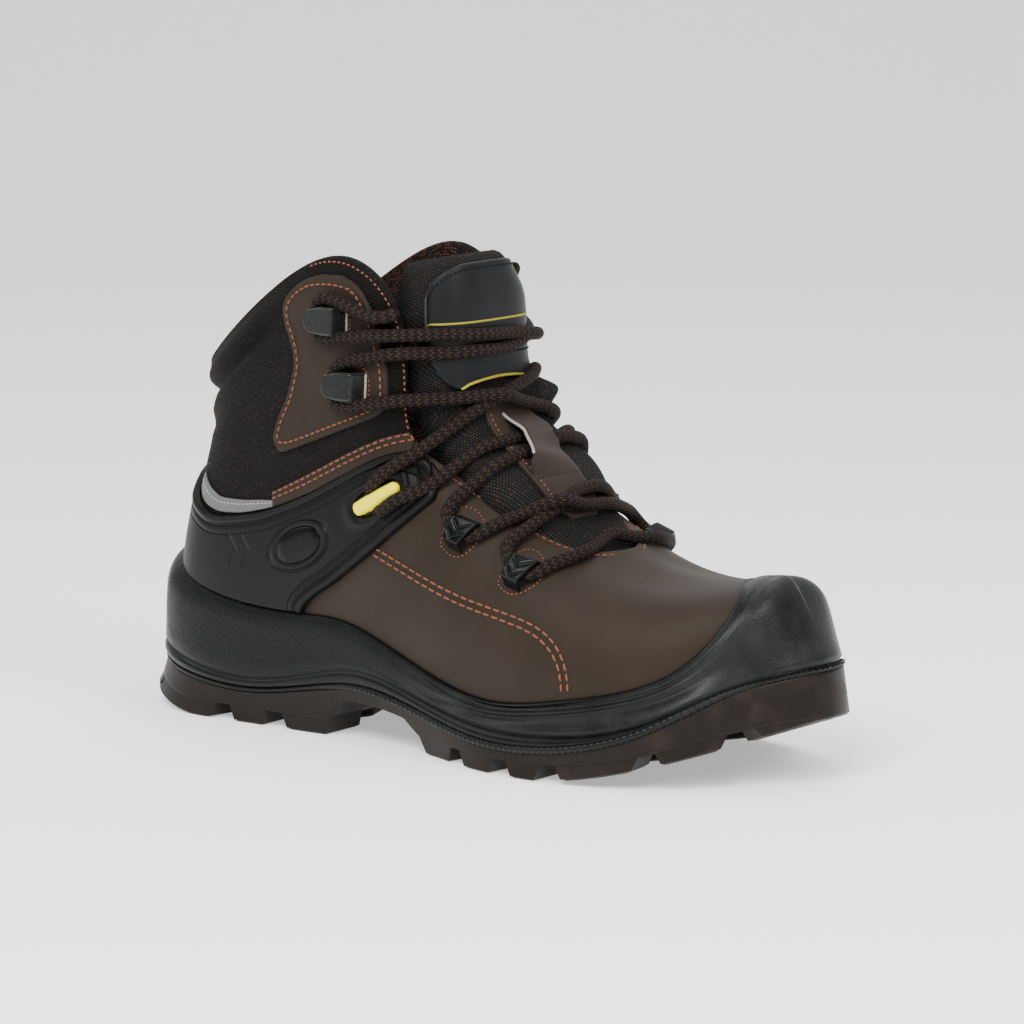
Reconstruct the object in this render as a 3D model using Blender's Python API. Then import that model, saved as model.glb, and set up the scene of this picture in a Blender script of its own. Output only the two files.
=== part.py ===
"""A lace-up safety work boot for the right foot, as an assembly of separate pieces.

The boot is drawn like a last: ribs rise from the feather edge, where upper and sole
meet, to the top edge round the throat and collar. Station 0 is the toe and station 11
the heel back; the ribs run down the outer side and return along the inner side. Every
overlay, sole wall and fitting is worked out from these ribs. Lengths are millimetres
in a shoemaker's frame (x from the heel back, n out from the last's own curved axis,
z up) until place() turns them into metres.
"""

import bpy
import bmesh
import numpy as np

# Driving dimensions, in millimetres
LENGTH = 305.0          # sole, heel back to toe tip
BALL_WIDTH = 110.0      # sole across the ball
COLLAR_HEIGHT = 185.0   # floor to the highest point of the collar flap
TOE_SWING = 10.0        # how far the toe leans to the inner side
WAIST_SWING = 3.0       # how far the waist leans to the outer side
TOE_SPRING = 25.4       # rise of the tread at the toe tip
HEEL_BEVEL = 8.0        # rise of the tread at the heel back
LUG_DEPTH = 6.4         # depth of the tread lugs
LEATHER = 2.2           # wall of the vamp and quarters
PADDING = 3.3           # extra wall of the padded ankle and collar
LACE_DIAMETER = 4.6
GAP = 0.3               # space kept between neighbouring pieces
MM = 0.001

# The pattern is drawn for a 305 by 110 by 185 boot and graded to the driving dimensions.
GRADE = np.array([LENGTH / 305.0, BALL_WIDTH / 110.0, COLLAR_HEIGHT / 185.0])

# Sampling
RIBS_PER_STATION = 3
RAND_STEPS = 5          # rings of the upper below the rand's top edge
QUARTER_STEPS = 6       # rings from there to the top edge

# Ribs of the upper, a row for each station: feather point, lower girth handle, upper
# girth handle and top edge point, each (x, n, z).
UPPER_RIBS = [
    ((291, 0, 34), (299, 0, 95), (256, 0, 56), (214, 0, 79)),          # toe tip
    ((275, 27, 31), (283, 31, 88), (246, 19, 56), (212, 9, 79)),       # toe corner
    ((252, 42, 24), (257, 49, 66), (231, 31, 64), (205, 17, 80)),      # little toe
    ((222, 48, 17), (225, 57, 50), (211, 41, 71), (191, 24, 86)),      # ball
    ((188, 46, 15), (187, 56, 50), (180, 45, 84), (171, 28, 97.5)),    # instep
    ((154, 40, 18), (150, 51, 54), (152, 45, 95), (152, 31, 109)),     # waist
    ((121, 37, 22), (117, 47, 58), (128, 41, 103), (138, 33, 124)),    # arch
    ((91, 37, 25), (86, 46, 65), (112, 39, 122), (134, 34, 161.5)),    # heel front
    ((60, 38, 27), (54, 46, 70), (80, 37, 128), (105, 37, 183)),       # heel side
    ((31, 33, 27), (23, 39.5, 60), (46, 35, 112), (63, 35, 163.5)),    # heel quarter
    ((14.5, 18, 27), (7, 22.5, 51), (31.5, 20.5, 100), (29.5, 22, 141)), # heel corner
    ((10, 0, 27), (0, 0, 49), (27, 0, 96), (13, 0, 133)),              # heel back
]
STATIONS = len(UPPER_RIBS) - 1

# Walls of the sole, a row for each station: how far the tread edge, the welt line and
# the groove stand out from the feather edge, the heights of base, welt and groove,
# the share of the rib that the rand covers, and how far its side bulges.
SOLE_COLUMNS = ("tread_out", "welt_out", "groove_out", "base_z", "welt_z", "groove_z", "rand_share", "bulge")
SOLE_ROWS = [
    (11.0, 8.5, 8.0, 28.0, 42.5, 45.5, 0.56, 4.6),     # toe tip
    (11.0, 9.0, 8.5, 24.0, 36.7, 40.2, 0.25, 4.6),     # toe corner
    (9.5, 9.0, 8.5, 15.5, 21.5, 26.5, 0.124, 4.0),     # little toe
    (8.0, 8.0, 7.5, 9.8, 12.1, 19.1, 0.137, 4.2),      # ball
    (8.0, 8.0, 7.5, 9.0, 10.5, 18.5, 0.1, 4.2),        # instep
    (1.5, 6.0, 6.5, 14.0, 16.0, 24.0, 0.138, 4.0),     # waist
    (-1.0, 4.0, 5.5, 18.0, 20.5, 29.5, 0.2, 4.0),      # arch
    (2.0, 4.0, 5.5, 15.0, 17.0, 24.6, 0.166, 4.4),     # heel front
    (3.5, 4.0, 5.5, 11.0, 12.8, 19.8, 0.147, 4.8),     # heel side
    (9.5, 8.0, 9.0, 13.2, 15.6, 23.8, 0.231, 6.8),     # heel quarter
    (15.0, 11.0, 12.0, 16.8, 19.8, 28.8, 0.369, 8.6),  # heel corner
    (13.0, 10.0, 11.0, 17.6, 20.8, 30.0, 0.414, 8.6),  # heel back
]
BUMPER_WALL = 3.2       # thickness of the outsole's rim round the midsole
OUTSOLE_WALL = 2.6      # least thickness of the outsole above the lugs
RAND_LIP = 1.6          # thickness of the rand at its top edge
WALL_ROUND = [(0.94, 0.45), (0.8, 0.9), (0.62, 1.0)]   # shares of the rand's height and of its bulge
WAIST_RISE = 11.0       # how far the outsole lifts off the floor under the arch
HEEL_BREAST_X = 104.0
FOREPART_X = 149.0


def smooth(value, low, high):
    """A soft step from 0 at low to 1 at high."""
    share = np.clip((np.asarray(value, float) - low) / (high - low), 0.0, 1.0)
    return share * share * (3.0 - 2.0 * share)


def ring_spline(rows):
    """Coefficients of a closed curve through the rows and their mirror images."""
    half = np.array(rows, float)
    mirrored = half[-2:0:-1].copy()
    if half.ndim == 3:
        mirrored[..., 1] *= -1.0
    ring = np.concatenate([half, mirrored])
    count = len(ring)
    unit = np.eye(count)
    blend = (4.0 * unit + np.roll(unit, 1, 0) + np.roll(unit, -1, 0)) / 6.0
    return np.linalg.solve(blend, ring.reshape(count, -1)).reshape(ring.shape)


def ring_value(ring, station):
    """The closed curve's value at a station, which may be an array."""
    station = np.asarray(station, float)
    first = np.floor(station).astype(int)
    f = (station - first).reshape(station.shape + (1,) * (ring.ndim - 1))
    weights = ((1 - f) ** 3, 3 * f**3 - 6 * f**2 + 4, -3 * f**3 + 3 * f**2 + 3 * f + 1, f**3)
    return sum(w * ring[(first + j - 1) % len(ring)] for j, w in enumerate(weights)) / 6.0


UPPER_RING = ring_spline(np.array(UPPER_RIBS, float) * GRADE)
SOLE_RING = ring_spline(SOLE_ROWS)


def sole_size(station, column):
    """One column of the sole's table, read between the rows."""
    return ring_value(SOLE_RING, station)[..., SOLE_COLUMNS.index(column)]


# The collar roll: a soft crease under the padded top edge, fading out towards the flap.
CREASE_SHARE = 0.885
CREASE_WIDTH = 0.035
CREASE_DEPTH = 2.6
CREASE_STATIONS = (8.1, 9.0)


def crease(station, share):
    """How far the collar's crease pulls the wall in."""
    from_heel = np.abs(np.asarray(station, float) - STATIONS)
    fade = 1.0 - smooth(from_heel, STATIONS - CREASE_STATIONS[1], STATIONS - CREASE_STATIONS[0])
    return CREASE_DEPTH * fade * np.exp(-(((share - CREASE_SHARE) / CREASE_WIDTH) ** 2))


def rib(station, share):
    """A point of the bare last: a rib is a cubic through its four guide points."""
    guide = ring_value(UPPER_RING, station)
    t = np.asarray(share, float)[..., None]
    weights = ((1 - t) ** 3, 3 * (1 - t) ** 2 * t, 3 * (1 - t) * t**2, t**3)
    return sum(w * guide[..., j, :] for j, w in enumerate(weights))


def upper_point(station, share, out=0.0):
    """A point out millimetres off the upper's outer face."""
    station, share = np.broadcast_arrays(np.asarray(station, float), np.asarray(share, float))
    step = 1e-3
    along = rib(station + step, share) - rib(station - step, share)
    up = rib(station, share + step) - rib(station, share - step)
    normal = np.cross(along, up)
    normal /= np.linalg.norm(normal, axis=-1, keepdims=True)
    return rib(station, share) + normal * (np.asarray(out, float) - crease(station, share))[..., None]


def share_at(station, height):
    """The share of each rib at which it reaches a height."""
    station, height = np.broadcast_arrays(np.asarray(station, float), np.asarray(height, float))
    shares = np.linspace(0.0, 1.0, 121)
    found = [
        np.interp(h, np.maximum.accumulate(rib(np.full_like(shares, s), shares)[:, 2]), shares)
        for s, h in zip(station.ravel(), height.ravel())
    ]
    return np.array(found).reshape(station.shape)


def at_height(station, height, out=0.0):
    """A point of the upper's face given by station and height."""
    return upper_point(station, share_at(station, height), out)


def station_at(x, height):
    """The outer-side station at which the upper's face reaches x at a height."""
    x, height = np.broadcast_arrays(np.asarray(x, float), np.asarray(height, float))
    stations = np.linspace(STATIONS, 0.0, 89)
    spots = zip(x.ravel(), height.ravel())
    found = [np.interp(a, at_height(stations, np.full(89, h))[:, 0], stations) for a, h in spots]
    return np.array(found).reshape(x.shape)


def on_side(side, station):
    """The station on the outer side (1) or its twin on the inner side (-1)."""
    return station if side > 0 else 2 * STATIONS - station


def last_axis(x):
    """The last's curved axis: the waist swings to the outer side and the toe to the inner side."""
    toe = TOE_SWING * np.clip((x - 0.49 * LENGTH) / (0.51 * LENGTH), 0.0, None) ** 2
    return toe - WAIST_SWING * np.exp(-(((x - 0.43 * LENGTH) / (0.15 * LENGTH)) ** 2))


def place(points):
    """Shoemaker's millimetres to metres in the boot's frame; the outer side is at -Y."""
    p = np.asarray(points, float)
    y = last_axis(p[..., 0]) - p[..., 1]
    return np.stack([p[..., 0], y, p[..., 2]], -1) * MM


def stations_round(per_station=RIBS_PER_STATION):
    """Stations all round the boot, from the toe down the outer side and back."""
    count = 2 * STATIONS * per_station
    return np.arange(count) * (2.0 * STATIONS / count)


def tread_height(x):
    """Height of the tread's lowest face: flat, then sprung up at the toe and heel back."""
    toe = TOE_SPRING * np.clip((x / LENGTH - 0.69) / 0.30, 0.0, None) ** 1.55
    heel = HEEL_BEVEL * np.clip(1.0 - (x + 3.0) / 36.0, 0.0, None) ** 1.4
    return toe + heel


def base_height(x):
    """Height of the joint between midsole and outsole at a place along the sole."""
    station = np.linspace(STATIONS, 0.0, 67)
    along = outline(station, sole_size(station, "welt_out") - BUMPER_WALL)[:, 0]
    return np.interp(x, np.maximum.accumulate(along), sole_size(station, "base_z"))


def root_height(x):
    """Height of the face that the lugs stand on, which arches over the waist."""
    arch = smooth(x, HEEL_BREAST_X - 4, HEEL_BREAST_X + 8) - smooth(x, FOREPART_X - 13, FOREPART_X + 5)
    return np.minimum(tread_height(x) + LUG_DEPTH + WAIST_RISE * arch, base_height(x) - OUTSOLE_WALL)


def outline(station, out):
    """A point (x, n) of the sole, out millimetres outside the feather edge."""
    feather = UPPER_RING[:, 0, :2]
    step = 1e-3
    edge = ring_value(feather, station)
    along = ring_value(feather, np.asarray(station) + step) - ring_value(feather, np.asarray(station) - step)
    normal = np.stack([along[..., 1], -along[..., 0]], -1)
    normal /= np.linalg.norm(normal, axis=-1, keepdims=True)
    return edge + normal * np.asarray(out, float)[..., None]


def ring_at(station, out, height):
    """A ring of points on the sole's outline at given heights."""
    flat = outline(station, np.broadcast_to(out, np.shape(station)))
    return np.concatenate([flat, np.broadcast_to(height, np.shape(station))[..., None]], -1)


# Mesh building

def make_material(name, colour, roughness, metallic=0.0):
    """A plain Principled material in the piece's colour."""
    material = bpy.data.materials.get(name)
    if material is None:
        material = bpy.data.materials.new(name)
        material.use_nodes = True
        shader = material.node_tree.nodes["Principled BSDF"]
        shader.inputs["Base Color"].default_value = (*colour, 1.0)
        shader.inputs["Roughness"].default_value = roughness
        shader.inputs["Metallic"].default_value = metallic
    return material


def finish_mesh(name, bm, material, sharp_degrees=40.0):
    """Turns a bmesh into a named, smooth-shaded object on the boot's frame."""
    mesh = bpy.data.meshes.new(name)
    bm.to_mesh(mesh)
    bm.free()
    mesh.shade_smooth()
    mesh.set_sharp_from_angle(angle=np.radians(sharp_degrees))
    mesh.materials.append(material)
    piece = bpy.data.objects.new(name, mesh)
    bpy.context.scene.collection.objects.link(piece)
    piece.parent = bpy.data.objects["boot_frame"]
    return piece


def add_rings(bm, rings, closed):
    """Skins a stack of rings with quads; returns the rows of vertices."""
    rows = [[bm.verts.new(p) for p in place(ring)] for ring in rings]
    for low, high in zip(rows, rows[1:]):
        count = len(low)
        for i in range(count if closed else count - 1):
            j = (i + 1) % count
            bm.faces.new((low[i], high[i], high[j], low[j]))
    return rows


def cap_ladder(bm, row):
    """Closes a ring with rungs from each outer station to the same inner station."""
    count = len(row)
    bm.faces.new((row[0], row[1], row[-1]))
    for i in range(1, count // 2 - 1):
        bm.faces.new((row[i], row[i + 1], row[-i - 1], row[-i]))
    bm.faces.new((row[count // 2 - 1], row[count // 2], row[count // 2 + 1]))


def loft(name, rings, material, caps=True):
    """A closed body skinned over rings; with no caps the last ring meets the first."""
    bm = bmesh.new()
    rows = add_rings(bm, rings, closed=True)
    if caps:
        cap_ladder(bm, rows[0])
        cap_ladder(bm, rows[-1])
    else:
        for i, low in enumerate(rows[-1]):
            j = (i + 1) % len(rows[-1])
            bm.faces.new((low, rows[0][i], rows[0][j], rows[-1][j]))
    bmesh.ops.recalc_face_normals(bm, faces=bm.faces)
    return finish_mesh(name, bm, material)


def sheet(name, grid, material, thickness):
    """A panel on the upper: a grid of points thickened outwards."""
    bm = bmesh.new()
    add_rings(bm, grid, closed=False)
    piece = finish_mesh(name, bm, material)
    wall = piece.modifiers.new("thickness", "SOLIDIFY")
    wall.thickness = thickness * MM
    wall.offset = 1.0
    wall.use_even_offset = True
    return piece


# Upper and sole

def wall_thickness(station, share):
    """Thickness of the upper: leather, with padding round the ankle and collar."""
    height = rib(station, share)[..., 2]
    behind_throat = 1.0 - smooth(np.abs(station - STATIONS), STATIONS - 8.0, STATIONS - 6.0)
    return LEATHER + PADDING * smooth(height, 100.0, 135.0) * behind_throat


def build_upper(material):
    """One hollow wall, open underneath and at the collar and throat, with a rounded top edge."""
    station = stations_round()
    rand = sole_size(station, "rand_share")
    outer = [rand * f for f in np.linspace(0.0, 1.0, RAND_STEPS + 1)]
    outer += [rand + (1.0 - rand) * f for f in np.linspace(0.0, 1.0, QUARTER_STEPS + 1)[1:]]
    inner = [outer[i] for i in (11, 10, 9, 7, 5, 3, 0)]
    rings = [upper_point(station, s) for s in outer]
    wall = [wall_thickness(station, s) for s in inner]
    inside = [upper_point(station, s, -w) for s, w in zip(inner, wall)]
    rise = rings[-1] - rings[-2]
    rise /= np.linalg.norm(rise, axis=-1, keepdims=True)
    crown = 0.5 * (rings[-1] + inside[0]) + rise * 0.35 * wall[0][:, None]
    return loft("upper", rings + [crown] + inside, material, caps=False)


def build_midsole(material):
    """The moulded sole: a trough round the upper, with the toe cap and heel cup in one piece."""
    station = stations_round()
    top = sole_size(station, "rand_share")
    bulge = sole_size(station, "bulge")
    groove_out, groove_z = sole_size(station, "groove_out"), sole_size(station, "groove_z")
    welt_out, welt_z = sole_size(station, "welt_out"), sole_size(station, "welt_z")
    floor = upper_point(station, 0.0 * top, GAP)
    floor[:, 2] -= GAP
    inner = [upper_point(station, f * top, GAP) for f in np.linspace(0.0, 1.0, RAND_STEPS + 1)[1:]]
    lip = [upper_point(station, top, GAP + RAND_LIP)]
    side = [upper_point(station, s * top, GAP + bulge * b) for s, b in WALL_ROUND]
    groove = [ring_at(station, groove_out, groove_z), ring_at(station, groove_out - 0.9, groove_z - 1.0)]
    band_z = 0.35 * groove_z + 0.65 * welt_z
    band = [ring_at(station, welt_out - 0.3, band_z), ring_at(station, welt_out + 0.5, band_z - 0.4)]
    welt = [ring_at(station, welt_out + 0.5, welt_z), ring_at(station, welt_out - BUMPER_WALL, welt_z)]
    base = [ring_at(station, welt_out - BUMPER_WALL, sole_size(station, "base_z"))]
    return loft("midsole", [floor] + inner + lip + side + groove + band + welt + base, material)


# Lugs on each side of the tread: first and last station, and how far they reach inwards.
SIDE_LUGS = [
    (6.6, 7.42, 20.0),      # heel breast
    (7.62, 8.24, 18.0),     # heel middle
    (8.42, 9.42, 16.0),     # heel corner
    (4.48, 5.12, 19.0),     # forepart, first behind the ball
    (3.78, 4.36, 22.0),     # ball
    (3.18, 3.66, 24.0),     # ball
    (2.02, 3.04, 22.0),     # little toe
    (1.02, 1.86, 20.0),     # toe side
]
END_LUGS = [
    (-0.8, 0.8, 18.0),                              # toe
    (STATIONS - 1.38, STATIONS + 1.38, 15.0),       # heel back
]
# Chevron bars down the middle of the tread: their x and half length.
CENTRE_BARS = [
    (38.0, 14.0),
    (62.0, 15.0),
    (86.0, 13.0),
    (168.0, 15.0),
    (192.0, 19.0),
    (216.0, 21.0),
    (240.0, 17.0),
]
BAR_WIDTH = 11.0
BAR_SWEEP = 5.0
LUG_ROOT = 1.5          # how far a lug reaches into the outsole
LUG_DRAFT = 0.09        # how much a lug narrows towards the floor, in stations


def lug_prism(name, top, bottom):
    """A lug skinned between its ring in the outsole and its ring on the floor."""
    bm = bmesh.new()
    rows = add_rings(bm, [top, bottom], closed=True)
    for row in rows:
        bm.faces.new(row)
    bmesh.ops.recalc_face_normals(bm, faces=bm.faces)
    lug = finish_mesh(name, bm, bpy.data.materials["outsole rubber"])
    lug.hide_render = True
    lug.display_type = "WIRE"
    return lug


def rim_out(station, height):
    """How far the outsole's side stands out at a height between welt and tread."""
    tread, welt = sole_size(station, "tread_out"), sole_size(station, "welt_out")
    low = tread_height(outline(station, tread)[..., 0])
    share = np.clip((height - low) / (sole_size(station, "welt_z") - low), 0.0, 1.0)
    return tread + (welt - tread) * share


def edge_lug(name, first, last, reach):
    """A lug at the tread's edge, flush with the sole's side."""
    steps = max(3, int(round((last - first) * 3)) + 1)
    rings = []
    for draft, on_floor in ((0.0, False), (LUG_DRAFT, True)):
        station = np.linspace(first + draft, last - draft, steps)
        x = outline(station, sole_size(station, "tread_out"))[:, 0]
        floor = tread_height(x)
        rim = rim_out(station, floor if on_floor else root_height(x))
        outer = outline(station, rim - (0.0 if on_floor else 0.4))
        inner = outline(station[::-1], rim[::-1] - reach)
        flat = np.concatenate([outer, inner])
        height = tread_height(flat[:, 0]) if on_floor else root_height(flat[:, 0]) + LUG_ROOT
        rings.append(np.concatenate([flat, height[:, None]], -1))
    return lug_prism(name, *rings)


def centre_bar(name, x, half_length):
    """A chevron bar across the middle of the tread."""
    rings = []
    for shrink, on_floor in ((0.0, False), (0.7, True)):
        half, reach = BAR_WIDTH / 2 - shrink, half_length - shrink
        front = [(x - BAR_SWEEP + half, -reach), (x + half, 0.0), (x - BAR_SWEEP + half, reach)]
        back = [(x - BAR_SWEEP - half, reach), (x - half, 0.0), (x - BAR_SWEEP - half, -reach)]
        flat = np.array(front + back)
        height = tread_height(flat[:, 0]) if on_floor else root_height(flat[:, 0]) + LUG_ROOT
        rings.append(np.concatenate([flat, height[:, None]], -1))
    return lug_prism(name, *rings)


def build_outsole(material):
    """The rubber cup under the midsole, with its toe bumper, arch and lugs."""
    station = stations_round()
    welt_out, welt_z = sole_size(station, "welt_out"), sole_size(station, "welt_z")
    base_z = sole_size(station, "base_z")
    cup = welt_out - BUMPER_WALL + GAP
    root = root_height(outline(station, sole_size(station, "tread_out"))[:, 0])
    ledge = 0.45 * welt_z + 0.55 * root
    rings = [
        ring_at(station, cup, base_z - GAP),
        ring_at(station, cup, welt_z - GAP),
        ring_at(station, welt_out, welt_z - GAP),
        ring_at(station, rim_out(station, ledge), ledge),
        ring_at(station, rim_out(station, root), root),
    ]
    outsole = loft("outsole", rings, material)
    lugs = bpy.data.collections.new("lugs")
    bpy.context.scene.collection.children.link(lugs)
    made = [edge_lug(f"lug_end_{i}", *row) for i, row in enumerate(END_LUGS)]
    for i, (first, last, reach) in enumerate(SIDE_LUGS):
        made.append(edge_lug(f"lug_outer_{i}", first, last, reach))
        made.append(edge_lug(f"lug_inner_{i}", 2 * STATIONS - last, 2 * STATIONS - first, reach))
    made += [centre_bar(f"lug_bar_{i}", *row) for i, row in enumerate(CENTRE_BARS)]
    for lug in made:
        bpy.context.scene.collection.objects.unlink(lug)
        lugs.objects.link(lug)
    join = outsole.modifiers.new("lugs", "BOOLEAN")
    join.operation = "UNION"
    join.operand_type = "COLLECTION"
    join.collection = lugs
    return outsole


# Pieces on the upper

OVERLAY_SEAT = 0.8      # space under an overlay, over the facets of the upper
STABILISER_WALL = 2.4
STABILISER_ARM_END = 4.85
# Heel stabiliser: station, lower edge and upper edge heights from the arm's end to the heel back.
STABILISER_EDGE = [
    (4.85, 97.0, 105.0),
    (5.2, 89.0, 110.0),
    (5.8, 75.0, 113.0),
    (6.4, 62.0, 108.0),
    (6.95, 50.0, 99.0),
    (7.1, 40.0, 96.0),
    (7.35, 40.0, 91.5),
    (7.95, 40.0, 83.5),
    (8.6, 40.0, 80.3),
    (9.1, 40.0, 83.6),
    (9.6, 40.0, 87.5),
    (10.3, 40.0, 94.0),
    (11.0, 40.0, 97.0),
]
STRIP_WALL = 0.8
# Reflective crescent above it: station, lower and upper edge heights.
CRESCENT_EDGE = [
    (7.85, 86.4, 87.6),
    (8.05, 84.4, 88.6),
    (8.4, 82.4, 87.6),
    (8.7, 82.0, 87.2),
    (8.95, 83.6, 88.8),
    (9.2, 87.2, 92.2),
    (9.4, 91.2, 94.0),
]
STAY_WALL = 1.4
# Hook stay on the flap: height, rear x and front x.
STAY_EDGE = [
    (110.0, 78.0, 86.5),
    (117.0, 76.8, 104.5),
    (127.0, 81.3, 128.0),
    (143.0, 85.6, 130.5),
    (152.0, 83.0, 128.0),
    (163.0, 79.2, 124.3),
    (172.0, 86.0, 118.5),
    (176.8, 96.5, 111.5),
]


def rand_height(station):
    """Height of the rand's top edge."""
    return rib(station, sole_size(station, "rand_share"))[..., 2]


def build_stabiliser(material):
    """The moulded brace round the heel, with an arm rising along each quarter."""
    rows = np.array(STABILISER_EDGE)
    first = STABILISER_ARM_END
    inner_stations = np.arange(np.ceil(first * 3), np.floor((2 * STATIONS - first) * 3) + 1) / 3.0
    station = np.concatenate([[first], inner_stations, [2 * STATIONS - first]])
    from_toe = STATIONS - np.abs(station - STATIONS)
    low = np.maximum(np.interp(from_toe, rows[:, 0], rows[:, 1]), rand_height(station) + 0.8)
    high = np.interp(from_toe, rows[:, 0], rows[:, 2])
    grid = [at_height(station, low + (high - low) * f, OVERLAY_SEAT) for f in np.linspace(0.0, 1.0, 4)]
    return sheet("heel_stabiliser", grid, material, STABILISER_WALL)


def side_sheet(name, side, station, height, out, material, thickness):
    """A panel on one side of the upper from grids of station and height."""
    grid = at_height(on_side(side, np.asarray(station)), height, out)
    return sheet(name, grid if side > 0 else grid[:, ::-1], material, thickness)


def build_crescent(name, side, material):
    """The reflective strip in the hollow of the stabiliser's upper edge."""
    rows = np.array(CRESCENT_EDGE)
    along = np.linspace(rows[0, 0], rows[-1, 0], 9)
    low, high = np.interp(along, rows[:, 0], rows[:, 1]), np.interp(along, rows[:, 0], rows[:, 2])
    height = np.stack([low, high])
    return side_sheet(name, side, np.broadcast_to(along, height.shape), height, GAP, material, STRIP_WALL)


def build_stay(name, side, material):
    """The leather patch that carries the two upper lace tabs."""
    rows = np.array(STAY_EDGE)
    across = np.linspace(0.0, 1.0, 6)
    height = np.repeat(rows[:, :1], len(across), axis=1)
    x = rows[:, 2:3] + (rows[:, 1:2] - rows[:, 2:3]) * across
    return side_sheet(name, side, station_at(x, height), height, OVERLAY_SEAT, material, STAY_WALL)


def local_patch(x, height, along, across, tilt=0.0):
    """Stations and heights of a grid laid on the upper round a point.

    along runs forward and across runs up, turned by tilt degrees.
    """
    c, s = np.cos(np.radians(tilt)), np.sin(np.radians(tilt))
    high = height + s * along + c * across
    return station_at(x + c * along - s * across, high), high


TAB_WALL = 1.6
TAB_RISE = 5.4          # room for the lace under a tab
TAB_TAPER = 0.4         # how much a tab narrows towards its rear or lower end
GHILLIE_SEAT = 0.45
# Lace tabs on each side: name, x, height, half span, half width, tilt of the span, and what they sit on.
LACE_TABS = [
    ("ghillie_lower", 196.0, 72.5, 4.6, 5.6, 72.0, GHILLIE_SEAT),
    ("ghillie_upper", 169.8, 84.8, 5.2, 5.6, 70.0, GHILLIE_SEAT),
    ("lace_tab_lower", 109.5, 136.0, 8.6, 5.0, 0.0, OVERLAY_SEAT + STAY_WALL),
    ("lace_tab_upper", 101.0, 160.0, 8.6, 5.0, 0.0, OVERLAY_SEAT + STAY_WALL),
]
GUIDE_AT = (128.5, 94.6)
GUIDE_HALF = (12.0, 4.4)
GUIDE_TILT = 28.0
GUIDE_WALL = 2.6
BADGE_AT = (90.0, 71.5)
BADGE_HALF = (12.5, 8.0)
BADGE_TILT = 14.0
BADGE_WALL = 1.0


def build_tab(name, side, x, height, half_span, half_width, tilt, seat, material):
    """An arched strap that the lace runs under, held down at both ends of its span."""
    u, v = np.meshgrid(np.linspace(1, -1, 7), np.linspace(-1, 1, 3))
    narrow = 1.0 - TAB_TAPER * (1.0 - u) / 2
    station, high = local_patch(x, height, half_span * u, half_width * v * narrow, tilt)
    arch = TAB_RISE * smooth(1.0 - np.abs(u), 0.05, 0.5)
    return side_sheet(name, side, station, high, GAP + seat + arch, material, TAB_WALL)


def build_guide(name, side, material):
    """The moulded bar on the stabiliser's arm that turns the lace."""
    u, v = np.meshgrid(np.linspace(1, -1, 9), np.linspace(-1, 1, 4))
    half_length, half_width = GUIDE_HALF
    round_end = np.sqrt(np.clip(1.0 - np.clip((np.abs(u) - 0.72) / 0.4, 0.0, 1.0) ** 2, 0.0, 1.0))
    station, high = local_patch(*GUIDE_AT, u * half_length, v * half_width * round_end, GUIDE_TILT)
    return side_sheet(name, side, station, high, OVERLAY_SEAT + STABILISER_WALL + GAP, material, GUIDE_WALL)


def build_badge(name, side, material):
    """The plain oval boss on the stabiliser."""
    u, v = np.meshgrid(np.linspace(1, -1, 5), np.linspace(-1, 1, 5))
    along = BADGE_HALF[0] * u * np.sqrt(1.0 - v**2 / 2)
    across = BADGE_HALF[1] * v * np.sqrt(1.0 - u**2 / 2)
    station, high = local_patch(*BADGE_AT, along, across, BADGE_TILT)
    return side_sheet(name, side, station, high, OVERLAY_SEAT + STABILISER_WALL + GAP, material, BADGE_WALL)


# Tongue

TONGUE_COLUMNS = ("x", "z", "half_width", "depth", "thickness")
TONGUE_ROWS = [
    (222.0, 64.0, 17.0, 8.0, 3.0),       # tuck under the vamp
    (206.5, 77.5, 22.0, 13.0, 4.0),      # foot of the throat
    (190.0, 91.0, 26.0, 16.0, 5.0),      # low instep
    (173.5, 106.5, 27.5, 18.0, 5.5),     # instep
    (161.5, 121.0, 27.5, 21.0, 6.0),     # bend
    (155.0, 138.0, 28.0, 26.0, 7.0),     # shin
    (153.5, 155.0, 28.3, 29.0, 8.0),     # upper shin
    (152.5, 171.0, 27.8, 29.0, 8.0),     # label
    (149.5, 187.0, 25.0, 25.0, 6.5),     # top
]
TONGUE_SQUARE = 0.6     # below 1 the tongue's section is flat in front and turns in at its sides
TONGUE_SWEEP = 86.0     # how far the tongue wraps back on each side, in degrees


def line_spline(rows):
    """Coefficients of an open curve through the rows, straight at its ends."""
    points = np.array(rows, float)
    count = len(points)
    blend = np.zeros((count + 2, count + 2))
    for i in range(count):
        blend[i + 1, i : i + 3] = np.array([1.0, 4.0, 1.0]) / 6.0
    blend[0, :3] = blend[-1, -3:] = (1.0, -2.0, 1.0)
    flat = np.concatenate([points[:1] * 0, points, points[:1] * 0])
    return np.linalg.solve(blend, flat)


def line_value(line, row):
    """The open curve's value at a row, which may lie between two rows."""
    row = np.clip(np.asarray(row, float), 0.0, len(line) - 3.0)
    first = np.minimum(np.floor(row).astype(int), len(line) - 4)
    f = (row - first)[..., None]
    weights = ((1 - f) ** 3, 3 * f**3 - 6 * f**2 + 4, -3 * f**3 + 3 * f**2 + 3 * f + 1, f**3)
    return sum(w * line[first + j] for j, w in enumerate(weights)) / 6.0


TONGUE_LINE = line_spline(TONGUE_ROWS)


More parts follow.
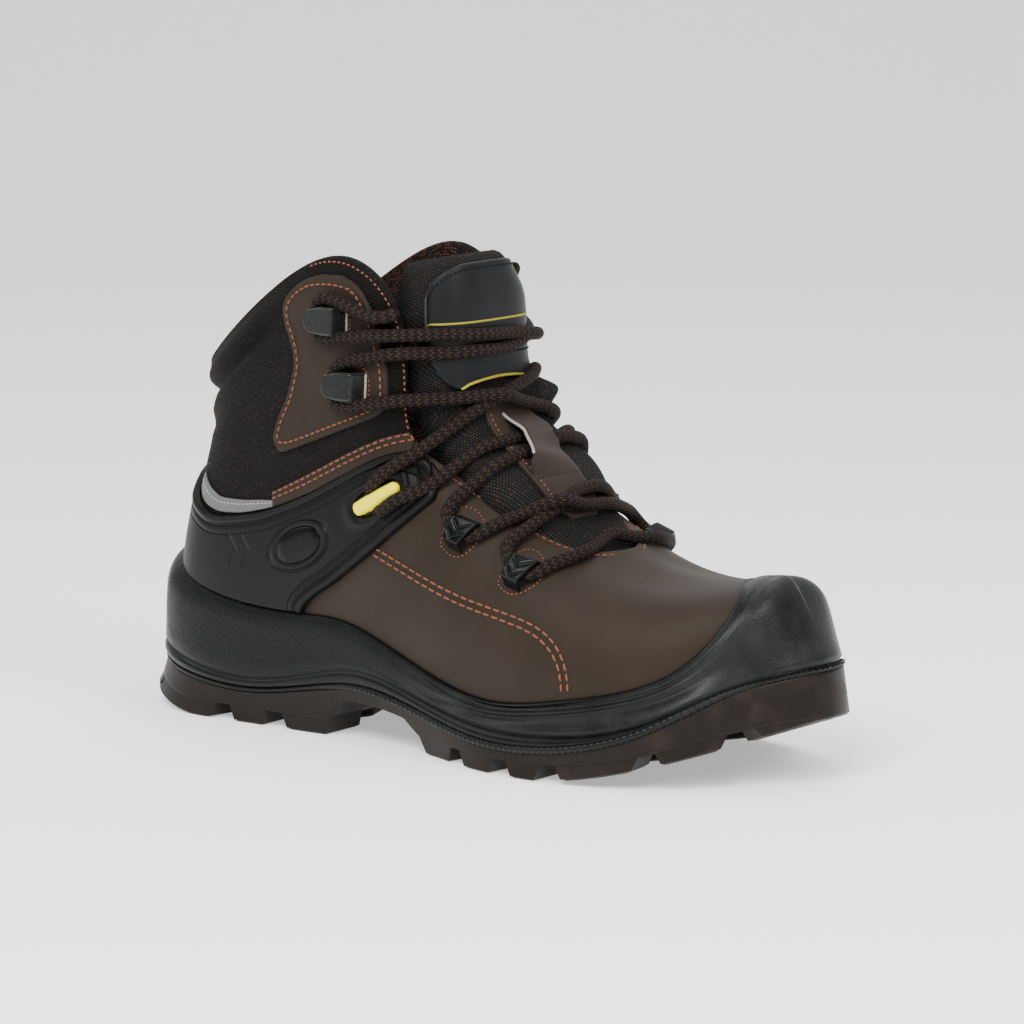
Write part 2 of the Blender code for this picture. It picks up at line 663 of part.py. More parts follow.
def tongue_point(row, angle, out=0.0):
    """A point of the tongue: half a squared ellipse across it, out millimetres off its front."""
    row, angle, out = np.broadcast_arrays(np.asarray(row, float), np.radians(angle), np.asarray(out, float))
    size = line_value(TONGUE_LINE, row)
    ahead = line_value(TONGUE_LINE, row + 1e-3) - line_value(TONGUE_LINE, row - 1e-3)
    run = np.hypot(ahead[..., 0], ahead[..., 1])
    back_x, back_z = -ahead[..., 1] / run, ahead[..., 0] / run
    front = np.cos(angle) ** TONGUE_SQUARE
    flank = np.sign(angle) * np.abs(np.sin(angle)) ** TONGUE_SQUARE
    sink = size[..., 3] * (1.0 - front) - out * front
    n = (size[..., 2] + out) * flank
    return np.stack([size[..., 0] + back_x * sink, n, size[..., 1] + back_z * sink], -1)


def tongue_row(height):
    """The tongue's row at which its middle reaches a height."""
    rows = np.linspace(0.0, len(TONGUE_ROWS) - 1.0, 161)
    return np.interp(height, line_value(TONGUE_LINE, rows)[:, 1], rows)


def build_tongue(material):
    """The padded tongue: a curved tablet that tucks under the vamp."""
    angles = TONGUE_SWEEP * np.array([-1.0, -0.82, -0.56, -0.28, -0.07, 0.07, 0.28, 0.56, 0.82, 1.0])
    rings = []
    for row in np.linspace(0.0, len(TONGUE_ROWS) - 1.0, 12):
        thickness = line_value(TONGUE_LINE, row)[4]
        front = tongue_point(row, angles)
        behind = tongue_point(row, angles[::-1], -thickness)
        rings.append(np.concatenate([front, behind]))
    bm = bmesh.new()
    rows = add_rings(bm, rings, closed=True)
    for row in (rows[0], rows[-1]):
        for i in range(len(angles) - 1):
            bm.faces.new((row[i], row[i + 1], row[-i - 2], row[-i - 1]))
    bmesh.ops.recalc_face_normals(bm, faces=bm.faces)
    return finish_mesh("tongue", bm, material)


LABEL_WALL = 1.2
LABEL_HEIGHTS = (141.0, 183.0)
LABEL_SWEEP = 62.0
KEEPER_HEIGHTS = (88.0, 129.0)
KEEPER_SWEEP = 13.0
KEEPER_LOOP = 112.5     # height of the loop that the laces run through
KEEPER_RISE = 8.0
KEEPER_WALL = 1.5


def build_label(material):
    """The plain leather patch on the front of the tongue."""
    u, v = np.meshgrid(np.linspace(-1, 1, 11), np.linspace(0, 1, 5))
    height = LABEL_HEIGHTS[0] + (LABEL_HEIGHTS[1] - LABEL_HEIGHTS[0]) * v
    sweep = LABEL_SWEEP * (1.0 - 0.22 * (1.0 - smooth(v, 0.0, 0.3)))
    face = tongue_point(tongue_row(height), u * sweep, OVERLAY_SEAT)
    return sheet("tongue_label", face, material, LABEL_WALL)


def build_keeper(material):
    """The leather strip down the tongue, raised into a loop that keeps the laces."""
    u, v = np.meshgrid(np.linspace(-1, 1, 5), np.linspace(0, 1, 15))
    height = KEEPER_HEIGHTS[0] + (KEEPER_HEIGHTS[1] - KEEPER_HEIGHTS[0]) * v
    loop = KEEPER_RISE * smooth(1.0 - np.abs(height - KEEPER_LOOP) / 12.0, 0.0, 0.8)
    face = tongue_point(tongue_row(height), u * KEEPER_SWEEP, OVERLAY_SEAT + loop)
    return sheet("tongue_strip", face, material, KEEPER_WALL)


INSOLE_WALL = 4.0
INSOLE_CLEAR = 0.8


def build_insole(material):
    """The footbed on the midsole's floor, inside the upper."""
    station = stations_round(2)
    bottom = upper_point(station, 0.0 * station, -LEATHER - INSOLE_CLEAR)
    bottom[:, 2] = rib(station, 0.0 * station)[:, 2]
    top = bottom + np.array([0.0, 0.0, INSOLE_WALL])
    return loft("insole", [bottom, top], material)


# Laces

LACE_SIDES = 6
LACE_CLEAR = 0.9        # space under a lace
LACE_FLANKS = (45.0, 14.0)  # where a lace rounds the tongue's side and front, in degrees
CROSSING_RISE = 0.9     # how far the upper lace of a crossing rides over the other
# Where the lace leaves each tab: x and height of its upper end and of its outer end.
LACE_EXITS = [
    ((187.5, 82.5), (206.0, 74.0)),      # lower ghillie
    ((162.5, 96.0), (180.5, 85.5)),      # upper ghillie
    ((123.0, 104.0), (136.0, 87.0)),     # guide
    ((109.5, 145.0), (108.0, 126.5)),    # lower tab
    ((99.5, 169.0), (97.5, 151.0)),      # upper tab
]
# Heights at which the crossings pass over the middle of the tongue, from the vamp up.
LACE_MIDDLE = [93.5, 112.5, 132.0, 153.0]
BAR_MIDDLE = 80.5       # height at which the lowest bar passes over the tongue
# Free ends of the lace from the upper tabs: x, height and how far they lie off the wall.
END_ROUTES = {
    "outer": [
        (100.0, 170.0, 0.0),
        (108.0, 167.5, 0.0),
        (117.0, 165.0, 0.0),
        (126.0, 164.0, 0.0),
        (132.5, 166.0, 0.5),
    ],
    "inner": [
        (100.0, 170.0, 0.0),
        (108.0, 170.0, 0.0),
        (116.0, 171.0, 0.5),
        (123.0, 173.5, 1.5),
        (129.0, 177.5, 2.5),
    ],
}
END_POINTS = 5          # points on each end's curve


def curve_through(points, samples):
    """Even points on a smooth curve through the given ones."""
    p = np.array(points, float)
    p = np.concatenate([2 * p[:1] - p[1:2], p, 2 * p[-1:] - p[-2:-1]])
    t = np.linspace(0.0, len(points) - 1.0, samples)
    i = np.minimum(np.floor(t).astype(int), len(points) - 2)
    f = (t - i)[:, None]
    a, b, c, d = p[i], p[i + 1], p[i + 2], p[i + 3]
    return 0.5 * (2 * b + (c - a) * f + (2 * a - 5 * b + 4 * c - d) * f**2 + (3 * b - a - 3 * c + d) * f**3)


def nearest(candidates, start, end):
    """Which candidate lies closest to the straight line between two points."""
    line = end - start
    share = np.clip(((candidates - start) @ line) / (line @ line), 0.05, 0.95)
    gap = np.linalg.norm(candidates - (start + share[:, None] * line), axis=-1)
    return int(np.argmin(gap))


def half_run(side, exit_point, middle_height):
    """Points of a lace from a tab's exit, over the throat's edge, to the tongue's middle."""
    x, height = exit_point
    lift = LACE_DIAMETER / 2 + LACE_CLEAR
    mirror = np.array([1.0, side, 1.0])
    on_arm = x < 140.0 and height < 110.0
    seat = OVERLAY_SEAT + (STABILISER_WALL if on_arm else STAY_WALL if x < 140.0 else 0.0)
    leaves = station_at(x, height)
    start = at_height(leaves, height, lift + seat)
    over_tongue = lift + GAP + KEEPER_WALL
    middle = tongue_point(tongue_row(middle_height), 0.0, over_tongue)
    stations = np.linspace(1.0, 8.0, 141)
    over_edge = lift + (seat if on_arm else 6 * GAP)
    edges = upper_point(stations, np.full(141, 0.985), over_edge)
    at_edge = nearest(edges, start, middle)
    half_x, _, half_height = (start + edges[at_edge]) / 2
    halfway = at_height(station_at(half_x, half_height), half_height, lift + seat)
    points = [start, halfway, edges[at_edge]]
    for angle in LACE_FLANKS:
        flanks = tongue_point(tongue_row(np.linspace(76.0, 178.0, 120)), np.full(120, angle), over_tongue)
        flank = flanks[nearest(flanks, points[-1], middle)]
        if np.linalg.norm(flank - points[-1]) > 2 * LACE_DIAMETER:
            points.append(flank)
    return [p * mirror for p in points], middle


def lace_run(outer_exit, inner_exit, middle_height, over=0.0, samples=13):
    """A lace's path from a tab on the outer side to one on the inner side."""
    near, middle = half_run(1, outer_exit, middle_height)
    far, _ = half_run(-1, inner_exit, middle_height)
    return curve_through(near + [middle + np.array([over, 0.0, over])] + far[::-1], samples)


def tube(name, path, material):
    """A round lace along a path, closed at both ends."""
    along = np.gradient(path, axis=0)
    along /= np.linalg.norm(along, axis=1, keepdims=True)
    across = np.cross(along, np.array([0.0, 0.0, 1.0]))
    across /= np.linalg.norm(across, axis=1, keepdims=True)
    normal = np.cross(across, along)
    angle = np.arange(LACE_SIDES) * (2 * np.pi / LACE_SIDES)
    radius = LACE_DIAMETER / 2
    circle = radius * np.stack([np.cos(angle), np.sin(angle)])
    rings = [p + np.outer(circle[0], a) + np.outer(circle[1], b) for p, a, b in zip(path, across, normal)]
    bm = bmesh.new()
    rows = add_rings(bm, rings, closed=True)
    bm.faces.new(rows[0])
    bm.faces.new(rows[-1])
    bmesh.ops.recalc_face_normals(bm, faces=bm.faces)
    return finish_mesh(name, bm, material)


def build_laces(material):
    """The bar over the vamp and the four crossings above it."""
    tube("lace_bar", lace_run(LACE_EXITS[0][1], LACE_EXITS[0][1], BAR_MIDDLE), material)
    for i, (low, high) in enumerate(zip(LACE_EXITS, LACE_EXITS[1:])):
        up = tube(f"lace_cross_{i + 1}", lace_run(low[0], high[1], LACE_MIDDLE[i]), material)
        down = tube(f"lace_under_{i + 1}", lace_run(high[1], low[0], LACE_MIDDLE[i], CROSSING_RISE), material)
        down.hide_render = True
        down.display_type = "WIRE"
        join = up.modifiers.new("crossing", "BOOLEAN")
        join.operation = "UNION"
        join.object = down


def build_lace_end(name, side, route, material):
    """A free end of the lace: a round cord along a curve through its own points."""
    lift = LACE_DIAMETER / 2 + LACE_CLEAR + OVERLAY_SEAT + STAY_WALL
    points = [at_height(station_at(x, height), height, lift + off) for x, height, off in route]
    path = place(curve_through(points, END_POINTS) * np.array([1.0, side, 1.0]))
    line = bpy.data.curves.new(name, "CURVE")
    line.dimensions = "3D"
    line.bevel_depth = LACE_DIAMETER / 2 * MM
    line.bevel_resolution = 2
    line.use_fill_caps = True
    spline = line.splines.new("POLY")
    spline.points.add(len(path) - 1)
    for point, spot in zip(spline.points, path):
        point.co = (*spot, 1.0)
    line.materials.append(material)
    cord = bpy.data.objects.new(name, line)
    bpy.context.scene.collection.objects.link(cord)
    cord.parent = bpy.data.objects["boot_frame"]


def centre_on_floor(frame):
    """Moves the frame so that the origin is on the floor under the middle of the boot."""
    shown = [obj for obj in frame.children if obj.type == "MESH" and not obj.hide_render]
    view = bpy.context.evaluated_depsgraph_get()
    corners = np.array([corner for obj in shown for corner in obj.evaluated_get(view).bound_box])
    low, high = corners.min(axis=0), corners.max(axis=0)
    frame.location = (-(low[0] + high[0]) / 2, -(low[1] + high[1]) / 2, -low[2])


def main():
    for obj in list(bpy.data.objects):
        bpy.data.objects.remove(obj)
    frame = bpy.data.objects.new("boot_frame", None)
    bpy.context.scene.collection.objects.link(frame)
    leather = make_material("brown leather", (0.045, 0.032, 0.024), 0.6)
    rubber = make_material("outsole rubber", (0.022, 0.015, 0.012), 0.65)
    foam = make_material("midsole black", (0.012, 0.012, 0.012), 0.55)
    plastic = make_material("black plastic", (0.018, 0.018, 0.017), 0.5)
    mesh_cloth = make_material("black mesh", (0.012, 0.011, 0.010), 0.85)
    yellow = make_material("yellow plastic", (0.80, 0.76, 0.16), 0.4)
    patch = make_material("label leather", (0.010, 0.012, 0.015), 0.45)
    grey = make_material("reflective grey", (0.32, 0.32, 0.31), 0.45)
    cloth = make_material("insole cloth", (0.03, 0.028, 0.026), 0.9)
    cord = make_material("lace cord", (0.03, 0.021, 0.017), 0.8)
    build_upper(leather)
    build_midsole(foam)
    build_outsole(rubber)
    build_insole(cloth)
    build_stabiliser(plastic)
    build_tongue(mesh_cloth)
    build_label(patch)
    build_keeper(leather)
    for side, side_name in ((1, "outer"), (-1, "inner")):
        build_crescent(f"reflective_{side_name}", side, grey)
        build_stay(f"hook_stay_{side_name}", side, leather)
        build_guide(f"lace_guide_{side_name}", side, yellow)
        build_badge(f"badge_{side_name}", side, plastic)
        for name, *sizes in LACE_TABS:
            build_tab(f"{name}_{side_name}", side, *sizes, plastic)
        build_lace_end(f"lace_end_{side_name}", side, END_ROUTES[side_name], cord)
    build_laces(cord)
    centre_on_floor(frame)


main()
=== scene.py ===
# %% [markdown]
# # A lace-up work boot
# This lesson dresses the plain solids of a safety boot: leather, woven mesh, moulded rubber,
# stitching and a braided lace. The solids are loaded first and never move. Every new piece is a
# surface worked out with numpy from one shape, the last, so the pieces fit each other.

import bmesh
import bpy
import numpy as np
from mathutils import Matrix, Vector


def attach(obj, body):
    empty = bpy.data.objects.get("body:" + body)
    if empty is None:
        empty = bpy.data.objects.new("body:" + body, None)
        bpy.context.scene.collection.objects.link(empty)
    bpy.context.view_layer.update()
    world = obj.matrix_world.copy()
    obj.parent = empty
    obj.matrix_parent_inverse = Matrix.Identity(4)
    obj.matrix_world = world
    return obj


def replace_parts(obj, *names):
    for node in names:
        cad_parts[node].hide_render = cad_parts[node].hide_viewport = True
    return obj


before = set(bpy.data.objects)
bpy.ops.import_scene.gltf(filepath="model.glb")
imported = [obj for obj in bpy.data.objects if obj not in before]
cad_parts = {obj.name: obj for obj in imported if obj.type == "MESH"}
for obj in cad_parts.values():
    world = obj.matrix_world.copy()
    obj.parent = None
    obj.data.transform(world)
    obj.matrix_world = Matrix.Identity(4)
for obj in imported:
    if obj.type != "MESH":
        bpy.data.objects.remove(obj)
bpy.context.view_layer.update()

# %% [markdown]
# ## Camera, floor and light
# The boot was photographed from its outer side, a little above the floor, with a long lens, so
# its lines hardly converge. The camera stands 1.8 m away. The floor is a plain pale sheet that
# curves up behind the boot, and large soft lamps stand round it as in a product studio.

# %% Camera
IMAGE_PIXELS = 1024
SENSOR_MM = 36.0
VIEW_TURN, VIEW_RISE, VIEW_DISTANCE = np.radians(38.5), np.radians(9.3), 1.8
VIEW_TARGET = Vector((0.0025, -0.0017, 0.085))
FOCAL_PIXELS = 4734.0
FRAME_SHIFT_PIXELS = (15.5, 5.0)

towards_camera = Vector((np.sin(VIEW_TURN) * np.cos(VIEW_RISE), -np.cos(VIEW_TURN) * np.cos(VIEW_RISE),
                         np.sin(VIEW_RISE)))
camera_data = bpy.data.cameras.new("camera")
camera_data.sensor_width = SENSOR_MM
camera_data.lens = FOCAL_PIXELS / IMAGE_PIXELS * SENSOR_MM
camera_data.shift_x, camera_data.shift_y = (p / IMAGE_PIXELS for p in FRAME_SHIFT_PIXELS)
camera = bpy.data.objects.new("camera", camera_data)
camera.location = VIEW_TARGET + towards_camera * VIEW_DISTANCE
camera.rotation_euler = (-towards_camera).to_track_quat("-Z", "Y").to_euler()
bpy.context.scene.collection.objects.link(camera)
bpy.context.scene.camera = camera
print("lens", round(camera_data.lens, 1), "mm")

# %% [markdown]
# ## The last
# Shoemakers build on a last. Here it is a ring of ribs: each rises from the feather edge, where
# upper and sole meet, to the top edge round throat and collar. A table gives each rib's four
# guide points at twelve stations from toe (0) to heel (11); closed cubic splines run through
# the rows, and the inner side mirrors the outer one. A curved axis then leans the toe inwards.

# %% Splines
MM = 0.001
FRAME_PLACE = np.array([149.5, 1.664, 0.0])     # the boot's origin in the pattern's millimetres


def smooth(value, low, high):
    """A soft step: 3t^2 - 2t^3, with t running from 0 at low to 1 at high."""
    t = np.clip((np.asarray(value, float) - low) / (high - low), 0.0, 1.0)
    return t * t * (3.0 - 2.0 * t)


def spline_weights(f):
    """The four cubic B-spline weights at a fraction f between two knots."""
    return ((1 - f) ** 3 / 6, (3 * f**3 - 6 * f**2 + 4) / 6, (-3 * f**3 + 3 * f**2 + 3 * f + 1) / 6, f**3 / 6)


def ring_spline(rows):
    """Knots of a closed cubic spline through the rows and their mirror images."""
    half = np.array(rows, float)
    mirrored = half[-2:0:-1].copy()
    if half.ndim == 3:
        mirrored[..., 1] *= -1.0
    ring = np.concatenate([half, mirrored])
    unit = np.eye(len(ring))
    blend = (4.0 * unit + np.roll(unit, 1, 0) + np.roll(unit, -1, 0)) / 6.0
    return np.linalg.solve(blend, ring.reshape(len(ring), -1)).reshape(ring.shape)


def ring_value(ring, station):
    """The closed spline at a station: four knots times their weights."""
    station = np.asarray(station, float)
    first = np.floor(station).astype(int)
    f = (station - first).reshape(station.shape + (1,) * (ring.ndim - 1))
    return sum(w * ring[(first + j - 1) % len(ring)] for j, w in enumerate(spline_weights(f)))


def line_spline(rows):
    """Knots of an open cubic spline through the rows, straight at both ends."""
    points = np.array(rows, float)
    count = len(points)
    size = count + 2
    blend = np.eye(size, k=-1) / 6 + np.eye(size) * 4 / 6 + np.eye(size, k=1) / 6
    blend[0, :3] = blend[-1, -3:] = (1.0, -2.0, 1.0)
    return np.linalg.solve(blend, np.concatenate([points[:1] * 0, points, points[:1] * 0]))


def line_value(line, row):
    """The open spline at a row number, which may lie between two rows."""
    row = np.clip(np.asarray(row, float), 0.0, len(line) - 3.0)
    first = np.minimum(np.floor(row).astype(int), len(line) - 4)
    f = (row - first)[..., None]
    return sum(w * line[first + j] for j, w in enumerate(spline_weights(f)))


# %% [markdown]
# ### Tables of the last and the sole
# A pattern maker writes a last down as sections. The ribs hold the upper's shape, and the sole's
# table says for each station how far its lines stand out and how high they run. Sizes in a table
# are easy to correct one by one, which a modelled mesh is not.

# %% The pattern's tables
UPPER_RIBS = [    # feather, lower girth, upper girth and edge points (x, n, z), in millimetres
    ((291, 0, 34), (299, 0, 95), (256, 0, 56), (214, 0, 79)),
    ((275, 27, 31), (283, 31, 88), (246, 19, 56), (212, 9, 79)),
    ((252, 42, 24), (257, 49, 66), (231, 31, 64), (205, 17, 80)),
    ((222, 48, 17), (225, 57, 50), (211, 41, 71), (191, 24, 86)),
    ((188, 46, 15), (187, 56, 50), (180, 45, 84), (171, 28, 97.5)),
    ((154, 40, 18), (150, 51, 54), (152, 45, 95), (152, 31, 109)),
    ((121, 37, 22), (117, 47, 58), (128, 41, 103), (138, 33, 124)),
    ((91, 37, 25), (86, 46, 65), (112, 39, 122), (134, 34, 161.5)),
    ((60, 38, 27), (54, 46, 70), (80, 37, 128), (105, 37, 183)),
    ((31, 33, 27), (23, 39.5, 60), (46, 35, 112), (63, 35, 163.5)),
    ((14.5, 18, 27), (7, 22.5, 51), (31.5, 20.5, 100), (29.5, 22, 141)),
    ((10, 0, 27), (0, 0, 49), (27, 0, 96), (13, 0, 133)),
]
STATIONS = len(UPPER_RIBS) - 1
SIDES = ((1, "outer"), (-1, "inner"))
UPPER_RING = ring_spline(UPPER_RIBS)
SOLE_COLUMNS = ("tread_out", "welt_out", "groove_out", "base_z", "welt_z", "groove_z", "rand_share", "bulge")
SOLE_ROWS = [
    (11.0, 8.5, 8.0, 28.0, 42.5, 45.5, 0.56, 4.6),
    (11.0, 9.0, 8.5, 24.0, 36.7, 40.2, 0.25, 4.6),
    (9.5, 9.0, 8.5, 15.5, 21.5, 26.5, 0.124, 4.0),
    (8.0, 8.0, 7.5, 9.8, 12.1, 19.1, 0.137, 4.2),
    (8.0, 8.0, 7.5, 9.0, 10.5, 18.5, 0.1, 4.2),
    (1.5, 6.0, 6.5, 14.0, 16.0, 24.0, 0.138, 4.0),
    (-1.0, 4.0, 5.5, 18.0, 20.5, 29.5, 0.2, 4.0),
    (2.0, 4.0, 5.5, 15.0, 17.0, 24.6, 0.166, 4.4),
    (3.5, 4.0, 5.5, 11.0, 12.8, 19.8, 0.147, 4.8),
    (9.5, 8.0, 9.0, 13.2, 15.6, 23.8, 0.231, 6.8),
    (15.0, 11.0, 12.0, 16.8, 19.8, 28.8, 0.369, 8.6),
    (13.0, 10.0, 11.0, 17.6, 20.8, 30.0, 0.414, 8.6),
]
SOLE_RING = ring_spline(SOLE_ROWS)
print("ribs:", len(UPPER_RING), "sole columns:", len(SOLE_COLUMNS))

# %% [markdown]
# ### Finding a place on the last
# Pieces are marked on a real last by measuring from its edges. These functions do the same: they
# turn a station and a share, or a length and a height, into a point and its normal.

# %% Points of the last
CREASE_SHARE, CREASE_WIDTH, CREASE_DEPTH = 0.885, 0.026, 3.2
RIB_SHARES = np.linspace(0.0, 1.0, 121)
RIB_WEIGHTS = np.stack([(1 - RIB_SHARES) ** 3, 3 * (1 - RIB_SHARES) ** 2 * RIB_SHARES,
                        3 * (1 - RIB_SHARES) * RIB_SHARES**2, RIB_SHARES**3])


def sole_size(station, column):
    """One column of the sole's table at a station."""
    return ring_value(SOLE_RING, station)[..., SOLE_COLUMNS.index(column)]


def from_toe(station):
    """Stations counted from the toe on either side of the boot."""
    return STATIONS - np.abs(np.asarray(station, float) - STATIONS)


def crease(station, share):
    """Depth of the collar's crease: a bell curve across the rib, fading out towards the flap."""
    fade = smooth(from_toe(station), 8.1, 9.0)
    return CREASE_DEPTH * fade * np.exp(-(((share - CREASE_SHARE) / CREASE_WIDTH) ** 2))


def rib(station, share):
    """A point of the last: a cubic Bezier curve through the station's four guide points."""
    guide = ring_value(UPPER_RING, station)
    t = np.asarray(share, float)[..., None]
    weights = ((1 - t) ** 3, 3 * (1 - t) ** 2 * t, 3 * (1 - t) * t**2, t**3)
    return sum(w * guide[..., j, :] for j, w in enumerate(weights))


def upper_normal(station, share):
    """Outward normal: the cross product of the steps along the stations and up the rib."""
    step = 1e-3
    along = rib(station + step, share) - rib(station - step, share)
    up = rib(station, share + step) - rib(station, share - step)
    normal = np.cross(along, up)
    return normal / np.linalg.norm(normal, axis=-1, keepdims=True)


def upper_point(station, share, out=0.0):
    """A point out millimetres off the upper: rib point plus normal times (out - crease)."""
    station, share = np.broadcast_arrays(np.asarray(station, float), np.asarray(share, float))
    raised = np.asarray(out, float) - crease(station, share)
    return rib(station, share) + upper_normal(station, share) * raised[..., None]


def share_at(station, height):
    """The share at which each rib first reaches a height, read from its sampled heights."""
    station, height = np.broadcast_arrays(np.asarray(station, float), np.asarray(height, float))
    level = np.maximum.accumulate(ring_value(UPPER_RING, station.ravel())[:, :, 2] @ RIB_WEIGHTS, axis=1)
    wanted = height.ravel()
    after = np.clip((level < wanted[:, None]).sum(axis=1), 1, len(RIB_SHARES) - 1)
    here = np.arange(len(wanted))
    low, high = level[here, after - 1], level[here, after]
    part = np.clip((wanted - low) / np.maximum(high - low, 1e-9), 0.0, 1.0)
    return ((after - 1 + part) / (len(RIB_SHARES) - 1)).reshape(station.shape)


def at_height(station, height, out=0.0):
    """A point of the upper given by station and height."""
    return upper_point(station, share_at(station, height), out)


def station_at(x, height):
    """The outer-side station that lies at x at a height, found by halving the interval."""
    x, height = np.broadcast_arrays(np.asarray(x, float), np.asarray(height, float))
    low, high = np.zeros(x.shape), np.full(x.shape, float(STATIONS))
    for _ in range(20):
        middle = (low + high) / 2
        in_front = rib(middle, share_at(middle, height))[..., 0] > x
        low, high = np.where(in_front, middle, low), np.where(in_front, high, middle)
    return (low + high) / 2


def last_axis(x):
    """The last's curved axis: a parabola towards the toe and a shallow bell at the waist."""
    toe_lean = 10.0 * np.clip((x - 149.45) / 155.55, 0.0, None) ** 2
    return toe_lean - 3.0 * np.exp(-(((x - 131.15) / 45.75) ** 2))


def place(points):
    """Pattern millimetres (x, outwards, up) to metres in the boot's frame."""
    p = np.asarray(points, float)
    y = last_axis(p[..., 0]) - p[..., 1]
    return (np.stack([p[..., 0], y, p[..., 2]], -1) - FRAME_PLACE) * MM


def outline(station, out):
    """A point (x, n) of the sole: the feather edge moved out along its normal in plan."""
    feather = UPPER_RING[:, 0, :2]
    along = ring_value(feather, station + 1e-3) - ring_value(feather, station - 1e-3)
    normal = np.stack([along[..., 1], -along[..., 0]], -1)
    normal /= np.linalg.norm(normal, axis=-1, keepdims=True)
    return ring_value(feather, station) + normal * np.asarray(out, float)[..., None]


def ring_at(station, out, height):
    """Points on the sole's outline at given heights."""
    flat = outline(station, np.broadcast_to(out, np.shape(station)))
    return np.concatenate([flat, np.broadcast_to(height, np.shape(station))[..., None]], -1)


print("heel back of the last:", np.round(place(rib(np.array(11.0), np.array(0.0))), 4))

# %% [markdown]
# ## Meshes from grids
# Every surface below is a grid of points, so one helper can turn any grid into a mesh: it
# numbers the points, joins neighbours into quads, and lays a UV map in real millimetres, which
# keeps weave and braid at their true size. A panel is such a grid with a rounded edge, closed
# underneath by a second grid that meets it along its border.

# %% Mesh helpers

def arc_lengths(grid, axis):
    """Distance walked along a grid's rows or columns, in millimetres."""
    steps = np.linalg.norm(np.diff(grid, axis=axis), axis=-1)
    start = np.zeros_like(np.take(steps, [0], axis=axis))
    return np.cumsum(np.concatenate([start, steps], axis=axis), axis=axis)


def grid_quads(rows, columns, wrap_rows, wrap_columns, first=0):
    """Corner numbers of the quads of a grid, with faces out when columns run along the stations."""
    index = np.arange(rows * columns).reshape(rows, columns) + first
    index = np.concatenate([index, index[:1]]) if wrap_rows else index
    index = np.concatenate([index, index[:, :1]], axis=1) if wrap_columns else index
    return np.stack([index[:-1, :-1], index[1:, :-1], index[1:, 1:], index[:-1, 1:]], -1).reshape(-1, 4)


def new_piece(name, points, quads, material, uv=None, masks=None, merge=False):
    """Puts points and quads, in metres, into a smooth-shaded mesh that rides with the boot."""
    mesh = bpy.data.meshes.new(name)
    mesh.vertices.add(len(points))
    mesh.vertices.foreach_set("co", np.ascontiguousarray(points, dtype=np.float32).ravel())
    mesh.loops.add(quads.size)
    mesh.loops.foreach_set("vertex_index", np.ascontiguousarray(quads, dtype=np.int32).ravel())
    mesh.polygons.add(len(quads))
    mesh.polygons.foreach_set("loop_start", np.arange(0, quads.size, 4, dtype=np.int32))
    if uv is not None:
        corners = np.ascontiguousarray(uv[quads.ravel()], dtype=np.float32)
        mesh.uv_layers.new(name="millimetres").data.foreach_set("uv", corners.ravel())
    for mask, values in (masks or {}).items():
        values = np.ascontiguousarray(values, dtype=np.float32).ravel()
        mesh.attributes.new(mask, "FLOAT", "POINT").data.foreach_set("value", values)
    mesh.update(calc_edges=True)
    mesh.validate()
    if merge:
        bm = bmesh.new()
        bm.from_mesh(mesh)
        bmesh.ops.remove_doubles(bm, verts=bm.verts, dist=2e-6)
        bm.to_mesh(mesh)
        bm.free()
    mesh.shade_smooth()
    mesh.materials.append(material)
    piece = bpy.data.objects.new(name, mesh)
    bpy.context.scene.collection.objects.link(piece)
    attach(piece, "root")
    print(name, len(mesh.polygons), "faces")
    return piece


def skin(name, grid, material, wrap_rows=False, wrap_columns=False, masks=None, uv=None):
    """A mesh over one grid of pattern points (rows, columns, 3)."""
    rows, columns = grid.shape[:2]
    if uv is None:
        uv = np.stack([arc_lengths(grid, 1), arc_lengths(grid, 0)], -1)
    quads = grid_quads(rows, columns, wrap_rows, wrap_columns)
    flat_masks = {mask: values.reshape(-1) for mask, values in (masks or {}).items()}
    return new_piece(name, place(grid).reshape(-1, 3), quads, material, uv.reshape(-1, 2), flat_masks)


def edge_spacing(count):
    """Positions from 0 to 1 that crowd towards both ends: half of one minus a cosine."""
    return 0.5 * (1.0 - np.cos(np.pi * np.linspace(0.0, 1.0, count)))


def border_distance(grid):
    """Each point's distance from the nearest border of its grid, in millimetres."""
    along, up = arc_lengths(grid, 1), arc_lengths(grid, 0)
    return np.minimum(np.minimum(along, along[:, -1:] - along), np.minimum(up, up[-1:] - up))


def panel(name, base, normal, thickness, material, seat=0.0, edge=1.0, relief=0.0, masks=None):
    """A closed panel on a grid of base points: its height follows a quarter circle at the border.

    height = seat + thickness * sqrt(1 - (1 - distance / edge)^2) + relief
    """
    inset = np.clip(border_distance(base) / edge, 0.0, 1.0)
    rise = thickness * np.sqrt(1.0 - (1.0 - inset) ** 2)
    over = base + normal * (seat + rise + np.asarray(relief) * inset)[..., None]
    under = base + normal * np.asarray(seat, float)[..., None]
    rows, columns = base.shape[:2]
    top = grid_quads(rows, columns, False, False)
    bottom = grid_quads(rows, columns, False, False, rows * columns)[:, ::-1]
    uv = np.stack([arc_lengths(base, 1), arc_lengths(base, 0)], -1).reshape(-1, 2)
    points = np.concatenate([place(over).reshape(-1, 3), place(under).reshape(-1, 3)])
    flat_masks = {mask: np.tile(values.reshape(-1), 2) for mask, values in (masks or {}).items()}
    return new_piece(name, points, np.concatenate([top, bottom]), material, np.tile(uv, (2, 1)), flat_masks,
                     merge=True)


